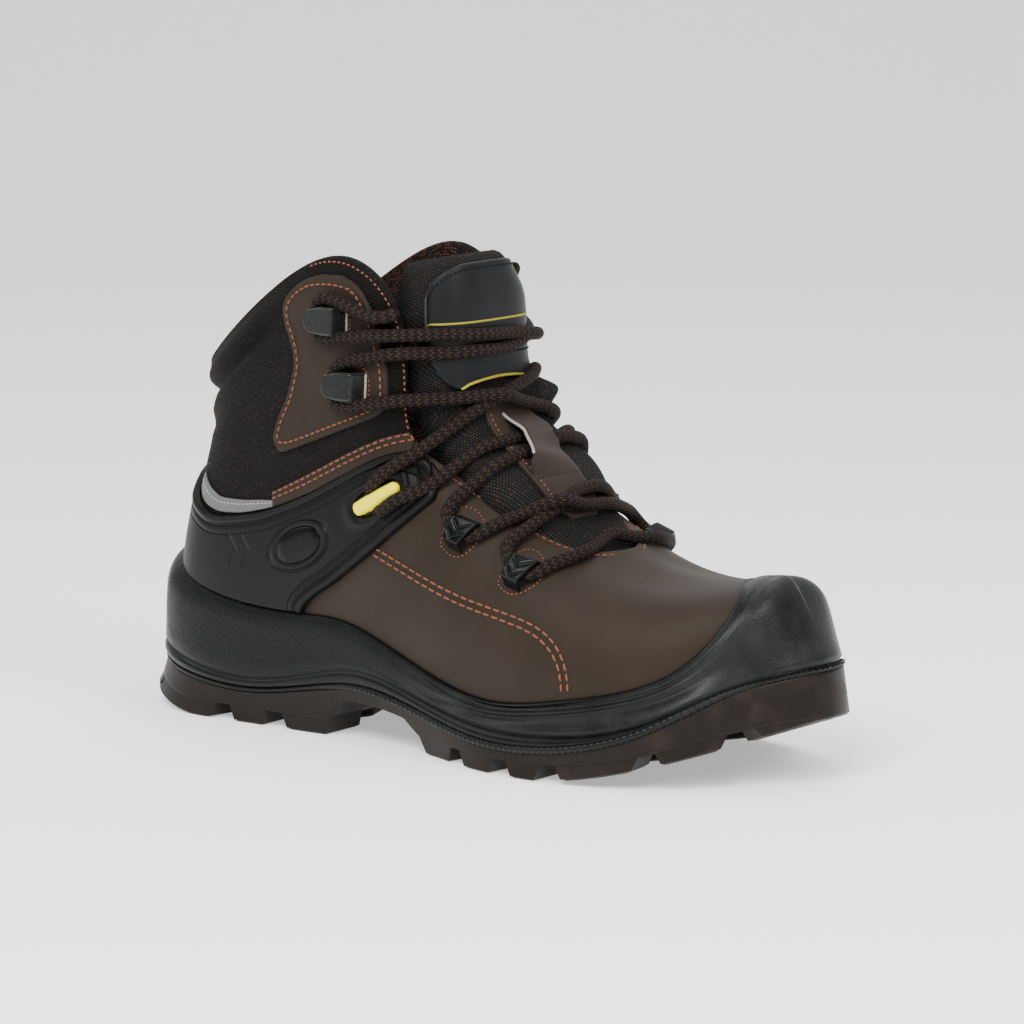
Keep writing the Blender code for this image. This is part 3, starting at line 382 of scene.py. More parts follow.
def side_panel(name, side, station, height, thickness, material, **finish):
    """A panel on the outer (1) or inner (-1) side of the upper, from stations and heights."""
    station, height = np.broadcast_arrays(np.asarray(station, float), np.asarray(height, float))
    share = share_at(station, height)
    if side < 0:
        station, share = 2 * STATIONS - station[:, ::-1], share[:, ::-1]
        finish = {key: value[:, ::-1] if np.ndim(value) == 2 else value for key, value in finish.items()}
    return panel(name, upper_point(station, share), upper_normal(station, share), thickness, material,
                 **finish)


def tube_piece(name, paths, radius, finish, sides):
    """Round tubes along paths: rings of points on frames that are carried on without twist."""
    points, faces, maps, first = [], [], [], 0
    angle = np.arange(sides + 1) * 2 * np.pi / sides
    for path in paths:
        ahead = np.gradient(path, axis=0)
        ahead /= np.linalg.norm(ahead, axis=1, keepdims=True)
        frame_up = [np.cross(ahead[0], np.array([0.31, 0.2, 0.93]))]
        for step in ahead:
            turned = frame_up[-1] - step * (frame_up[-1] @ step)
            frame_up.append(turned / np.linalg.norm(turned))
        up = np.array(frame_up[1:])
        sideways = np.cross(ahead, up)
        walked = arc_lengths(path[None], 1)[0]
        swell = radius * np.sqrt(np.clip(np.minimum(walked, walked[-1] - walked) / radius, 0.002, 1.0))
        spokes = np.cos(angle)[:, None] * sideways[:, None] + np.sin(angle)[:, None] * up[:, None]
        ring = path[:, None] + swell[:, None, None] * spokes
        points.append(place(ring).reshape(-1, 3))
        laid_out = np.broadcast_arrays(angle[None] / (2 * np.pi), walked[:, None])
        maps.append(np.stack(laid_out, -1).reshape(-1, 2))
        faces.append(grid_quads(len(path), sides + 1, False, False, first))
        first += len(path) * (sides + 1)
    return new_piece(name, np.concatenate(points), np.concatenate(faces), finish, np.concatenate(maps),
                     merge=True)


print("helpers ready")

# %% [markdown]
# ## Floor and lamps
# A studio sweep is a sheet that lies flat under the boot and bends up behind it, so no horizon
# shows. Its profile is a straight line, a quarter circle and a wall, carried sideways. Four
# large soft lamps and a bright room give gentle highlights on the rubber.

# %% Studio
FLOOR_HALF, FLOOR_FRONT, FLOOR_BEND, WALL_TOP, FLOOR_GLOW = 6.0, 4.0, 1.2, 5.0, 0.5


def tone(code):
    """A colour given as six hex digits, turned from screen values into linear light."""
    screen = np.array([int(code[i:i + 2], 16) for i in (0, 2, 4)]) / 255.0
    light = np.where(screen <= 0.04045, screen / 12.92, ((screen + 0.055) / 1.055) ** 2.4)
    return (*light.tolist(), 1.0)


def new_material(name, roughness, gloss=0.14):
    """A material with its Principled shader; plain numbers go on the shader's own sockets."""
    material = bpy.data.materials.new(name)
    material.use_nodes = True
    shader = material.node_tree.nodes["Principled BSDF"]
    shader.inputs["Roughness"].default_value = roughness
    shader.inputs["Specular IOR Level"].default_value = gloss
    return material, material.node_tree, shader


floor_finish, _, floor_shader = new_material("studio paper", 0.9)
floor_shader.inputs["Base Color"].default_value = tone("fafafa")
floor_shader.inputs["Emission Color"].default_value = (1.0, 1.0, 1.0, 1.0)
floor_shader.inputs["Emission Strength"].default_value = FLOOR_GLOW
bend = np.linspace(0.0, np.pi / 2, 24)[1:]
depth = np.concatenate([[-FLOOR_FRONT, 0.0, 1.6], 1.6 + FLOOR_BEND * np.sin(bend), [1.6 + FLOOR_BEND]])
rise = np.concatenate([[0.0, 0.0, 0.0], FLOOR_BEND * (1.0 - np.cos(bend)), [WALL_TOP]])
width = np.linspace(-FLOOR_HALF, FLOOR_HALF, 9)
away, right = -towards_camera.xy.normalized(), towards_camera.xy.normalized().orthogonal()
sweep = np.stack([depth[:, None] * away.x + width * right.x, depth[:, None] * away.y + width * right.y,
                  np.broadcast_to(rise[:, None], (len(rise), len(width)))], -1)
floor_mesh = bpy.data.meshes.new("floor")
floor_mesh.from_pydata(sweep.reshape(-1, 3).tolist(), [],
                       grid_quads(len(rise), len(width), False, False).tolist())
floor_mesh.shade_smooth()
floor_mesh.materials.append(floor_finish)
floor = bpy.data.objects.new("floor", floor_mesh)
bpy.context.scene.collection.objects.link(floor)


def soft_lamp(name, azimuth, rise_degrees, distance, size, power):
    """A square area lamp on a sphere round the boot, aimed at its middle."""
    turn, lift = np.radians(azimuth), np.radians(rise_degrees)
    aim = Vector((np.sin(turn) * np.cos(lift), -np.cos(turn) * np.cos(lift), np.sin(lift)))
    data = bpy.data.lights.new(name, "AREA")
    data.shape, data.size, data.energy = "SQUARE", size, power
    lamp = bpy.data.objects.new(name, data)
    lamp.location = VIEW_TARGET + aim * distance
    lamp.rotation_euler = (-aim).to_track_quat("-Z", "Y").to_euler()
    bpy.context.scene.collection.objects.link(lamp)


soft_lamp("key", 20.0, 44.0, 1.6, 0.8, 36.0)
soft_lamp("toe_fill", 84.0, 36.0, 1.6, 0.7, 20.0)
soft_lamp("heel_fill", -58.0, 30.0, 1.8, 0.8, 9.0)
soft_lamp("top", 180.0, 72.0, 1.7, 1.2, 14.0)
world = bpy.data.worlds.new("room")
world.use_nodes = True
world.node_tree.nodes["Background"].inputs["Color"].default_value = (1.0, 1.0, 1.0, 1.0)
world.node_tree.nodes["Background"].inputs["Strength"].default_value = 0.2
bpy.context.scene.world = world

# %% [markdown]
# ## Shared surface effects
# Grain, weave and smudges come back on many pieces, so each is one node group with named
# inputs. A group only puts out heights and masks; every material keeps its own shader.

# %% Node groups

def add_node(tree, kind, values=None, **settings):
    """Adds a node; values are numbers to set on its inputs or sockets to link to them."""
    made = tree.nodes.new(kind)
    for key, value in settings.items():
        setattr(made, key, value)
    for key, value in (values or {}).items():
        if isinstance(value, bpy.types.NodeSocket):
            tree.links.new(value, made.inputs[key])
        else:
            made.inputs[key].default_value = value
    return made


def maths(tree, operation, *values):
    """One Math node; returns its result."""
    return add_node(tree, "ShaderNodeMath", dict(enumerate(values)), operation=operation).outputs[0]


def ramp(tree, value, low, high):
    """A number that runs from 0 to 1 as the value goes from low to high."""
    limits = {"Value": value, "From Min": low, "From Max": high}
    return add_node(tree, "ShaderNodeMapRange", limits).outputs[0]


def new_group(name, numbers, outputs):
    """An empty node group with a Vector input, named number inputs and number outputs."""
    group = bpy.data.node_groups.new(name, "ShaderNodeTree")
    group.interface.new_socket(name="Vector", in_out="INPUT", socket_type="NodeSocketVector")
    for label, value in numbers.items():
        group.interface.new_socket(name=label, in_out="INPUT",
                                   socket_type="NodeSocketFloat").default_value = value
    for label in outputs:
        group.interface.new_socket(name=label, in_out="OUTPUT", socket_type="NodeSocketFloat")
    return group, group.nodes.new("NodeGroupInput").outputs, group.nodes.new("NodeGroupOutput")


grain, given, result = new_group("pebble grain", {"Cell mm": 0.8, "Fine mm": 0.25, "Fine share": 0.4},
                                 ("Height", "Mottle"))
cells = add_node(grain, "ShaderNodeTexVoronoi",
                 {"Vector": given["Vector"], "Scale": maths(grain, "DIVIDE", 1000.0, given["Cell mm"])},
                 feature="SMOOTH_F1")
fine = add_node(grain, "ShaderNodeTexNoise",
                {"Vector": given["Vector"], "Scale": maths(grain, "DIVIDE", 1000.0, given["Fine mm"]),
                 "Detail": 3.0})
pebble = maths(grain, "MULTIPLY", maths(grain, "SUBTRACT", 1.0, cells.outputs["Distance"]),
               maths(grain, "SUBTRACT", 1.0, given["Fine share"]))
speck = maths(grain, "MULTIPLY", fine.outputs["Fac"], given["Fine share"])
grain.links.new(maths(grain, "ADD", pebble, speck), result.inputs["Height"])
blotch = add_node(grain, "ShaderNodeTexNoise",
                  {"Vector": given["Vector"], "Scale": 38.0, "Detail": 5.0, "Roughness": 0.6})
grain.links.new(blotch.outputs["Fac"], result.inputs["Mottle"])

weave, given, result = new_group("mesh weave", {"Pitch mm": 1.3, "Row mm": 0.9}, ("Height", "Fleck"))
parts = add_node(weave, "ShaderNodeSeparateXYZ", {"Vector": given["Vector"]}).outputs
row = maths(weave, "DIVIDE", parts["Y"], given["Row mm"])
half_step = maths(weave, "MULTIPLY", maths(weave, "FLOORED_MODULO", maths(weave, "FLOOR", row), 2.0), 0.5)
column = maths(weave, "ADD", maths(weave, "DIVIDE", parts["X"], given["Pitch mm"]), half_step)
hump_x = maths(weave, "SINE", maths(weave, "MULTIPLY", maths(weave, "FRACT", column), np.pi))
hump_y = maths(weave, "SINE", maths(weave, "MULTIPLY", maths(weave, "FRACT", row), np.pi))
weave.links.new(maths(weave, "POWER", maths(weave, "MULTIPLY", hump_x, hump_y), 0.6), result.inputs["Height"])
knot = add_node(weave, "ShaderNodeCombineXYZ",
                {"X": maths(weave, "FLOOR", column), "Y": maths(weave, "FLOOR", row)})
chance = add_node(weave, "ShaderNodeTexWhiteNoise", {"Vector": knot.outputs[0]}, noise_dimensions="2D")
weave.links.new(chance.outputs["Value"], result.inputs["Fleck"])

smudge, given, result = new_group("smudge", {"Size mm": 18.0}, ("Mask",))
cloud = add_node(smudge, "ShaderNodeTexNoise",
                 {"Vector": given["Vector"], "Scale": maths(smudge, "DIVIDE", 1000.0, given["Size mm"]),
                  "Detail": 6.0, "Roughness": 0.7})
smudge.links.new(ramp(smudge, cloud.outputs["Fac"], 0.48, 0.72), result.inputs["Mask"])
print("groups:", [g.name for g in bpy.data.node_groups])

# %% [markdown]
# ## Finishes
# The leather is an oiled brown with fine grain. The ankle and tongue are a black woven mesh,
# the lining the same mesh with orange threads. Sole, toe cap and brace are moulded: smooth where
# the mould was polished, stippled where it was etched. Bump distances are true millimetres.

# %% Leather and rubber

def use_group(tree, group, vector, **numbers):
    """Places a node group in a material with its own values."""
    made = add_node(tree, "ShaderNodeGroup", node_tree=group)
    tree.links.new(vector, made.inputs["Vector"])
    for label, value in numbers.items():
        made.inputs[label.replace("_", " ")].default_value = value
    return made.outputs


def object_place(tree):
    """The surface point in the boot's own frame, in metres."""
    return add_node(tree, "ShaderNodeTexCoord").outputs["Object"]


def mix_tones(tree, mask, low, high):
    """A colour that runs from low to high as the mask goes from 0 to 1."""
    made = add_node(tree, "ShaderNodeMix", {0: mask}, data_type="RGBA")
    for socket, colour in ((6, low), (7, high)):
        if isinstance(colour, bpy.types.NodeSocket):
            tree.links.new(colour, made.inputs[socket])
        else:
            made.inputs[socket].default_value = colour
    return made.outputs[2]


def span(tree, value, low, high):
    """A number that runs from low to high as the value goes from 0 to 1."""
    return add_node(tree, "ShaderNodeMapRange", {"Value": value, "To Min": low, "To Max": high}).outputs[0]


def add_bump(tree, shader, height, depth_mm, strength=1.0):
    """Bump of a true depth on the shader's normal."""
    bump = add_node(tree, "ShaderNodeBump",
                    {"Height": height, "Distance": depth_mm * MM, "Strength": strength})
    tree.links.new(bump.outputs["Normal"], shader.inputs["Normal"])


def leather_finish(name, dark, light, cell, roughness, depth_mm, gloss=0.14):
    """Grained leather: mottled colour, pebbles in the bump, gloss that varies with the mottle."""
    material, tree, shader = new_material(name, roughness, gloss)
    point = object_place(tree)
    pebbles = use_group(tree, grain, point, Cell_mm=cell, Fine_mm=cell * 0.35, Fine_share=0.45)
    wear = use_group(tree, smudge, point, Size_mm=24.0)
    colour = mix_tones(tree, span(tree, pebbles["Mottle"], -0.35, 1.35), tone(dark), tone(light))
    tree.links.new(mix_tones(tree, span(tree, wear["Mask"], 0.0, 0.25), colour, tone(light)),
                   shader.inputs["Base Color"])
    tree.links.new(span(tree, pebbles["Height"], roughness - 0.1, roughness + 0.08),
                   shader.inputs["Roughness"])
    shader.inputs["Sheen Weight"].default_value = 0.06
    add_bump(tree, shader, pebbles["Height"], depth_mm)
    return material


def moulded_finish(name, dark, light, roughness, stipple_mm, stipple_depth, masked=False):
    """Moulded rubber or plastic: smudged colour and a stipple, kept to a mask where one is asked for."""
    material, tree, shader = new_material(name, roughness)
    point = object_place(tree)
    stipple = use_group(tree, grain, point, Cell_mm=stipple_mm, Fine_mm=stipple_mm * 0.5, Fine_share=0.5)
    wear = use_group(tree, smudge, point, Size_mm=14.0)
    height, rough = stipple["Height"], span(tree, wear["Mask"], roughness - 0.04, roughness + 0.1)
    colour = mix_tones(tree, span(tree, wear["Mask"], 0.0, 0.8), tone(dark), tone(light))
    if masked:
        mask = add_node(tree, "ShaderNodeAttribute", attribute_name="stipple").outputs["Fac"]
        height = maths(tree, "MULTIPLY", height, span(tree, mask, 0.08, 1.0))
        rough = maths(tree, "ADD", rough, span(tree, mask, 0.0, 0.12))
        # Masked pieces lighten towards pale grey by the scuff mask, mottled by the stipple: partly real
        # scuffing, partly painted highlight.
        scuff_and_painted_highlight = add_node(tree, "ShaderNodeAttribute", attribute_name="scuff_and_painted_highlight").outputs["Fac"]
        mottled_scuff_and_painted_highlight = maths(tree, "MULTIPLY", scuff_and_painted_highlight, span(tree, stipple["Mottle"], -0.5, 1.3))
        colour = mix_tones(tree, mottled_scuff_and_painted_highlight, colour, tone("6f7171"))
    tree.links.new(colour, shader.inputs["Base Color"])
    tree.links.new(rough, shader.inputs["Roughness"])
    add_bump(tree, shader, height, stipple_depth)
    return material


brown_leather = leather_finish("brown leather", "201811", "2a2118", 0.55, 0.6, 0.025)
label_leather = leather_finish("label leather", "0a0c0d", "121417", 1.1, 0.42, 0.06)
tab_leather = leather_finish("tab leather", "070808", "101212", 1.3, 0.28, 0.05, 0.32)
sole_rubber = moulded_finish("midsole black", "090a0a", "131514", 0.36, 0.75, 0.7, masked=True)
tread_rubber = moulded_finish("outsole rubber", "181310", "29211c", 0.48, 0.6, 0.05)
tab_plastic = moulded_finish("glossy black", "060707", "0d0f0f", 0.3, 2.2, 0.06)
guide_yellow = moulded_finish("yellow plastic", "f4e400", "f8ea1e", 0.4, 1.2, 0.03)
badge_black = moulded_finish("badge black", "030303", "070707", 0.34, 2.2, 0.02)
print("materials:", len(bpy.data.materials))

# %% [markdown]
# ### Cloth, thread and lace
# Mesh is knitted, thread is twisted and the lace is plaited over a core. Each is drawn from the
# piece's own map in millimetres, so the knots stay the same size on every piece.

# %% Cloth, thread and lace finishes

def millimetre_map(tree):
    """The piece's own UV map, in millimetres on its surface."""
    return add_node(tree, "ShaderNodeUVMap", uv_map="millimetres").outputs["UV"]


def mesh_finish(name, ground, thread, fleck, fleck_share, pitch, row):
    """Woven mesh: raised knots over a dark ground, with a share of them in a second thread."""
    material, tree, shader = new_material(name, 0.8)
    knots = use_group(tree, weave, millimetre_map(tree), Pitch_mm=pitch, Row_mm=row)
    second = maths(tree, "LESS_THAN", knots["Fleck"], fleck_share)
    top = mix_tones(tree, second, tone(thread), tone(fleck))
    lit = ramp(tree, knots["Height"], 0.25, 0.8)
    tree.links.new(mix_tones(tree, lit, tone(ground), top), shader.inputs["Base Color"])
    tree.links.new(span(tree, knots["Height"], 0.95, 0.6), shader.inputs["Roughness"])
    add_bump(tree, shader, knots["Height"], 0.5)
    return material


ankle_mesh = mesh_finish("ankle mesh", "010101", "15120f", "2c2019", 0.07, 1.05, 0.95)
tongue_mesh = mesh_finish("tongue mesh", "010101", "232120", "332923", 0.12, 1.55, 1.0)
lining_mesh = mesh_finish("lining mesh", "020202", "44281b", "120e0c", 0.45, 1.9, 1.4)
insole_cloth = mesh_finish("insole cloth", "060505", "161514", "1e1c1a", 0.3, 1.0, 1.0)


def thread_finish_of(name, dark, light):
    """Twisted thread: a sine wave across its map draws the strands."""
    material, tree, shader = new_material(name, 0.6)
    laid = add_node(tree, "ShaderNodeSeparateXYZ", {"Vector": millimetre_map(tree)}).outputs
    turns = maths(tree, "ADD", maths(tree, "MULTIPLY", laid["X"], 7.0),
                  maths(tree, "MULTIPLY", laid["Y"], 7.0))
    twist = maths(tree, "SINE", turns)
    tree.links.new(mix_tones(tree, span(tree, twist, 0.25, 0.9), tone(dark), tone(light)),
                   shader.inputs["Base Color"])
    add_bump(tree, shader, twist, 0.06)
    return material


orange_thread = thread_finish_of("orange thread", "553022", "915c46")
black_thread = thread_finish_of("black thread", "030303", "0b0b0b")
pale_thread = thread_finish_of("pale thread", "8e8d8a", "b9b8b4")
raw_edge = thread_finish_of("raw leather edge", "7c766f", "a39c94")
dull_yellow = moulded_finish("printed yellow", "8d8227", "a89c34", 0.6, 1.0, 0.01)

LACE_ROWS, LACE_STITCH_MM = 16.0, 1.5
lace_finish, tree, shader = new_material("lace cord", 0.7)
laid = add_node(tree, "ShaderNodeSeparateXYZ", {"Vector": millimetre_map(tree)}).outputs
round_it = maths(tree, "MULTIPLY", laid["X"], LACE_ROWS)
row, in_row = maths(tree, "FLOOR", round_it), maths(tree, "FRACT", round_it)
odd = maths(tree, "FLOORED_MODULO", row, 2.0)
slant = maths(tree, "MULTIPLY", maths(tree, "SUBTRACT", in_row, 0.5), span(tree, odd, -0.55, 0.55))
along_it = maths(tree, "ADD", maths(tree, "DIVIDE", laid["Y"], LACE_STITCH_MM), slant)
along_it = maths(tree, "ADD", along_it, maths(tree, "MULTIPLY", odd, 0.5))
in_stitch = maths(tree, "FRACT", along_it)
hump_round = maths(tree, "SINE", maths(tree, "MULTIPLY", in_row, np.pi))
hump_along = maths(tree, "SINE", maths(tree, "MULTIPLY", in_stitch, np.pi))
plait = maths(tree, "POWER", maths(tree, "MULTIPLY", hump_round, hump_along), 0.6)
brown = maths(tree, "FLOORED_MODULO", maths(tree, "ADD", maths(tree, "FLOOR", along_it), row), 2.0)
strand = mix_tones(tree, brown, tone("141211"), tone("38271f"))
tree.links.new(mix_tones(tree, plait, tone("020202"), strand), shader.inputs["Base Color"])
add_bump(tree, shader, plait, 0.45)

reflective, tree, shader = new_material("reflective grey", 0.42)
beads = use_group(tree, grain, object_place(tree), Cell_mm=0.35, Fine_mm=0.2, Fine_share=0.3)
tree.links.new(mix_tones(tree, beads["Height"], tone("4c4c4b"), tone("757573")), shader.inputs["Base Color"])
shader.inputs["Metallic"].default_value = 0.25
add_bump(tree, shader, beads["Height"], 0.06)
print("materials:", len(bpy.data.materials))

# %% [markdown]
# ## Upper
# The real upper is cut from leather and padded mesh and pulled over the last. Here it is one
# closed skin: up the outside, over a rounded top edge and down the inside. Faces take leather,
# mesh or lining by where they are. The collar's roll and a few soft folds are placed one by one.

# %% Upper skin
LEATHER_WALL, PAD_WALL = 2.2, 3.3
STABILISER_EDGE = [    # station, lower edge and upper edge heights, arm end to heel back
    (4.85, 97.0, 105.0), (5.2, 89.0, 110.0), (5.8, 75.0, 113.0), (6.4, 62.0, 108.0),
    (6.95, 50.0, 99.0), (7.1, 40.0, 96.0), (7.35, 40.0, 91.5), (7.95, 40.0, 83.5), (8.6, 40.0, 80.3),
    (9.1, 40.0, 83.6), (9.6, 40.0, 87.5), (10.3, 40.0, 94.0), (11.0, 40.0, 97.0),
]
STABILISER = np.array(STABILISER_EDGE)
SOFT_FOLDS = [    # station, height, depth, half length and half width of a fold in the mesh
    (10.2, 112.0, 0.9, 0.9, 3.0), (9.2, 104.0, 0.7, 0.7, 3.5), (11.0, 121.0, 0.8, 0.8, 2.5),
    (7.2, 112.0, 0.5, 0.4, 3.0), (8.4, 146.0, 0.6, 0.5, 3.5),
]


def wall_thickness(station, share):
    """Leather, and padding where the wall is high and behind the throat."""
    behind_throat = smooth(from_toe(station), 6.0, 8.0)
    return LEATHER_WALL + PAD_WALL * smooth(rib(station, share)[..., 2], 100.0, 135.0) * behind_throat


def soft_folds(station, height):
    """Sum of bell-shaped hollows, each long along the boot and narrow across it."""
    place_on = from_toe(station)
    return sum(-d * np.exp(-(((place_on - s) / long) ** 2) - ((height - z) / wide) ** 2)
               for s, z, d, long, wide in SOFT_FOLDS)


COLUMNS_PER_STATION = 20
ring_stations = np.arange(2 * STATIONS * COLUMNS_PER_STATION) / COLUMNS_PER_STATION
outside_shares = np.linspace(0.0, 1.0, 110)
station_grid, share_grid = np.meshgrid(ring_stations, outside_shares)
heights = rib(station_grid, share_grid)[..., 2]
behind = smooth(from_toe(station_grid), 8.1, 9.0)
roll = behind * (1.9 * np.exp(-(((share_grid - 0.945) / 0.032) ** 2))
                 + 0.8 * np.exp(-(((share_grid - 0.83) / 0.035) ** 2)))
padding = smooth(heights, 98.0, 112.0) * smooth(from_toe(station_grid), 5.6, 6.6)
outer = upper_point(station_grid, share_grid, roll + padding * soft_folds(station_grid, heights))

inside_shares = np.linspace(1.0, 0.0, 46)
station_in, share_in = np.meshgrid(ring_stations, inside_shares)
inner = upper_point(station_in, share_in, -wall_thickness(station_in, share_in))
turn = np.linspace(0.0, np.pi, 9)[1:-1, None, None]
middle, half = (outer[-1] + inner[0]) / 2, (outer[-1] - inner[0]) / 2
rising = outer[-1] - outer[-4]
rising /= np.linalg.norm(rising, axis=-1, keepdims=True)
half_wall = np.linalg.norm(half, axis=-1, keepdims=True)
crown = middle + half * np.cos(turn) + rising * half_wall * 0.7 * np.sin(turn)
skin_rows = np.concatenate([outer, crown, inner])
upper = skin("upper_skin", skin_rows, brown_leather, wrap_rows=True, wrap_columns=True)

border = np.where(from_toe(ring_stations) < 5.65, 400.0,
                  np.interp(from_toe(ring_stations), STABILISER[:, 0], STABILISER[:, 2]) - 5.0)
face_rows = np.zeros((len(skin_rows), len(ring_stations)), dtype=np.int32)
face_rows[:len(outside_shares)] = heights > border
face_rows[len(outside_shares):len(outside_shares) + 4] = from_toe(ring_stations) >= 5.65
face_rows[len(outside_shares) + 4:] = 2
for extra in (ankle_mesh, lining_mesh):
    upper.data.materials.append(extra)
upper.data.polygons.foreach_set("material_index", face_rows.ravel())
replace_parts(upper, "upper")

# %% [markdown]
# ## Stitching
# Every seam shows heavy orange thread. One stitch is a short bent tube that dips into the
# leather at both ends; a row of them follows a line on the upper. All stitches of a seam are one
# mesh, worked out together as an array of stitches, points along the stitch and points round it.

# %% Stitch rows
STITCH_LENGTH, STITCH_PITCH, THREAD_RADIUS = 3.3, 3.8, 0.46


def along_path(path, normal, distance):
    """Points and normals at given distances along a path, read by linear interpolation."""
    walked = arc_lengths(path[None], 1)[0]
    point = np.stack([np.interp(distance, walked, path[:, j]) for j in range(3)], -1)
    facing = np.stack([np.interp(distance, walked, normal[:, j]) for j in range(3)], -1)
    return point, facing / np.linalg.norm(facing, axis=-1, keepdims=True)


def stitch_row(name, lines, finish=None, length=STITCH_LENGTH, pitch=STITCH_PITCH, radius=THREAD_RADIUS):
    """Stitches along several lines (path, normal), each a tube whose middle rides up on the leather.

    Lift along a stitch is a half sine from end to end; the ends close to a point below the surface.
    """
    points, faces, maps, first = [], [], [], 0
    steps, sides = 7, 6
    t = np.linspace(-1.0, 1.0, steps)
    angle = np.arange(sides) * 2 * np.pi / sides
    for path, normal in lines:
        count = max(2, int(arc_lengths(path[None], 1)[0, -1] / pitch))
        gap = arc_lengths(path[None], 1)[0, -1] / count
        distance = (np.arange(count) + 0.5)[:, None] * gap + t * length / 2
        centre, facing = along_path(path, normal, distance)
        ahead = np.gradient(centre, axis=1)
        ahead /= np.linalg.norm(ahead, axis=-1, keepdims=True)
        sideways = np.cross(ahead, facing)
        swell = radius * np.sqrt(np.clip(1.0 - np.abs(t) ** 4, 0.02, 1.0))[:, None, None]
        lift = (radius * (1.15 * np.cos(t * np.pi / 2) ** 0.5 - 0.55))[:, None]
        spine = centre + facing * lift
        spokes = np.cos(angle)[:, None] * sideways[:, :, None] + np.sin(angle)[:, None] * facing[:, :, None]
        ring = spine[:, :, None] + swell * spokes
        quads = grid_quads(steps, sides, False, True)
        faces.append((quads[None] + np.arange(count)[:, None, None] * steps * sides + first).reshape(-1, 4))
        uv = np.stack(np.broadcast_arrays((angle * radius)[None, None], distance[:, :, None]), -1)
        points.append(place(ring).reshape(-1, 3))
        maps.append(uv.reshape(-1, 2))
        first += count * steps * sides
    piece = new_piece(name, np.concatenate(points), np.concatenate(faces), finish or orange_thread,
                      np.concatenate(maps))
    return piece


def upper_line(side, rows, out=0.0, samples=60):
    """A seam on the upper through rows of (x, height): a spline, laid on the surface at an offset."""
    spot = line_value(line_spline(rows), np.linspace(0.0, len(rows) - 1.0, samples))
    station = station_at(spot[:, 0], spot[:, 1])
    share = share_at(station, spot[:, 1])
    station = station if side > 0 else 2 * STATIONS - station
    return upper_point(station, share, out), upper_normal(station, share)


def shifted(rows, step):
    """The same rows moved by a step along the line's normal, for the second line of a double seam."""
    spots = np.array(rows, float)
    ahead = np.gradient(spots, axis=0)
    ahead /= np.linalg.norm(ahead, axis=1, keepdims=True)
    return spots + step * np.stack([-ahead[:, 1], ahead[:, 0]], -1)


QUARTER_SEAM = [(128.5, 74.2), (143.0, 69.7), (158.6, 64.7), (173.2, 60.7), (191.8, 57.0), (207.0, 53.0),
                (216.0, 47.0), (220.0, 40.0), (221.0, 33.0)]
for side, side_name in SIDES:
    stitch_row(f"quarter_stitches_{side_name}",
               [upper_line(side, QUARTER_SEAM), upper_line(side, shifted(QUARTER_SEAM, 2.7))])


def edge_line(first, last, inset, samples=80):
    """A line a few millimetres below the upper's top edge, between two stations."""
    station = np.linspace(first, last, samples)
    top, below = rib(station, np.ones(samples)), rib(station, np.full(samples, 0.95))
    share = 1.0 - 0.05 * inset / np.linalg.norm(top - below, axis=-1)
    return upper_point(station, share), upper_normal(station, share)


throat_rows = [edge_line(0.9, 5.55, 2.0), edge_line(2 * STATIONS - 5.55, 2 * STATIONS - 0.9, 2.0)]
stitch_row("throat_stitches", throat_rows, length=2.3, pitch=2.9, radius=0.36)
flap_rows = [edge_line(5.9, 8.3, 0.4), edge_line(2 * STATIONS - 8.3, 2 * STATIONS - 5.9, 0.4)]
stitch_row("flap_stitches", flap_rows, length=1.5, pitch=2.3, radius=0.4)

# %% [markdown]
# ## Leather patches
# A leather stay on each flap carries the two upper lace tabs, and a narrow strip covers the
# joint of mesh and brace. Both are panels on the upper with a rounded cut edge and stitches a
# few millimetres inside it, double on the strip.

# %% Hook stays and strips
OVERLAY_SEAT, STAY_WALL, STRIP_WALL = 0.3, 1.4, 1.1
STAY_EDGE = [    # height, rear x and front x
    (108.3, 79.0, 81.5), (113.5, 76.0, 95.5), (117.0, 76.8, 104.5), (123.0, 79.0, 119.5),
    (127.0, 81.3, 128.0), (132.0, 83.3, 131.0), (143.0, 85.6, 130.5), (152.0, 83.0, 128.0),
    (161.0, 78.6, 125.3), (166.5, 80.3, 122.5), (171.0, 84.5, 119.5), (175.0, 91.0, 115.5),
    (177.6, 99.0, 109.5),
]


def curve_table(table, column, at):
    """A table's column read at values of its first column, with smooth slopes and no overshoot."""
    rows = np.array(table, float)
    x, y = rows[:, 0], rows[:, column]
    steps, rises = np.diff(x), np.diff(y) / np.diff(x)
    slope = np.zeros(len(x))
    same_way = rises[1:] * rises[:-1] > 0
    before, after = rises[:-1][same_way], rises[1:][same_way]
    slope[1:-1][same_way] = 2 * before * after / (before + after)
    slope[0], slope[-1] = rises[0], rises[-1]
    at = np.clip(np.asarray(at, float), x[0], x[-1])
    i = np.clip(np.searchsorted(x, at) - 1, 0, len(x) - 2)
    t, h = (at - x[i]) / steps[i], steps[i]
    return ((1 + 2 * t) * (1 - t) ** 2 * y[i] + t * (1 - t) ** 2 * h * slope[i]
            + t**2 * (3 - 2 * t) * y[i + 1] - t**2 * (1 - t) * h * slope[i + 1])


def table_edges(table, at):
    """Both edges of a piece, from the second and third column of its table."""
    return curve_table(table, 1, at), curve_table(table, 2, at)


def stay_spot(across, up):
    """Station and height on the hook stay for shares across (front to rear) and up it."""
    height = STAY_EDGE[0][0] + (STAY_EDGE[-1][0] - STAY_EDGE[0][0]) * up
    rear, front = table_edges(STAY_EDGE, height)
    return station_at(front + (rear - front) * across, height), height


across, up = np.meshgrid(edge_spacing(44), edge_spacing(56))
stay_station, stay_height = stay_spot(across, up)


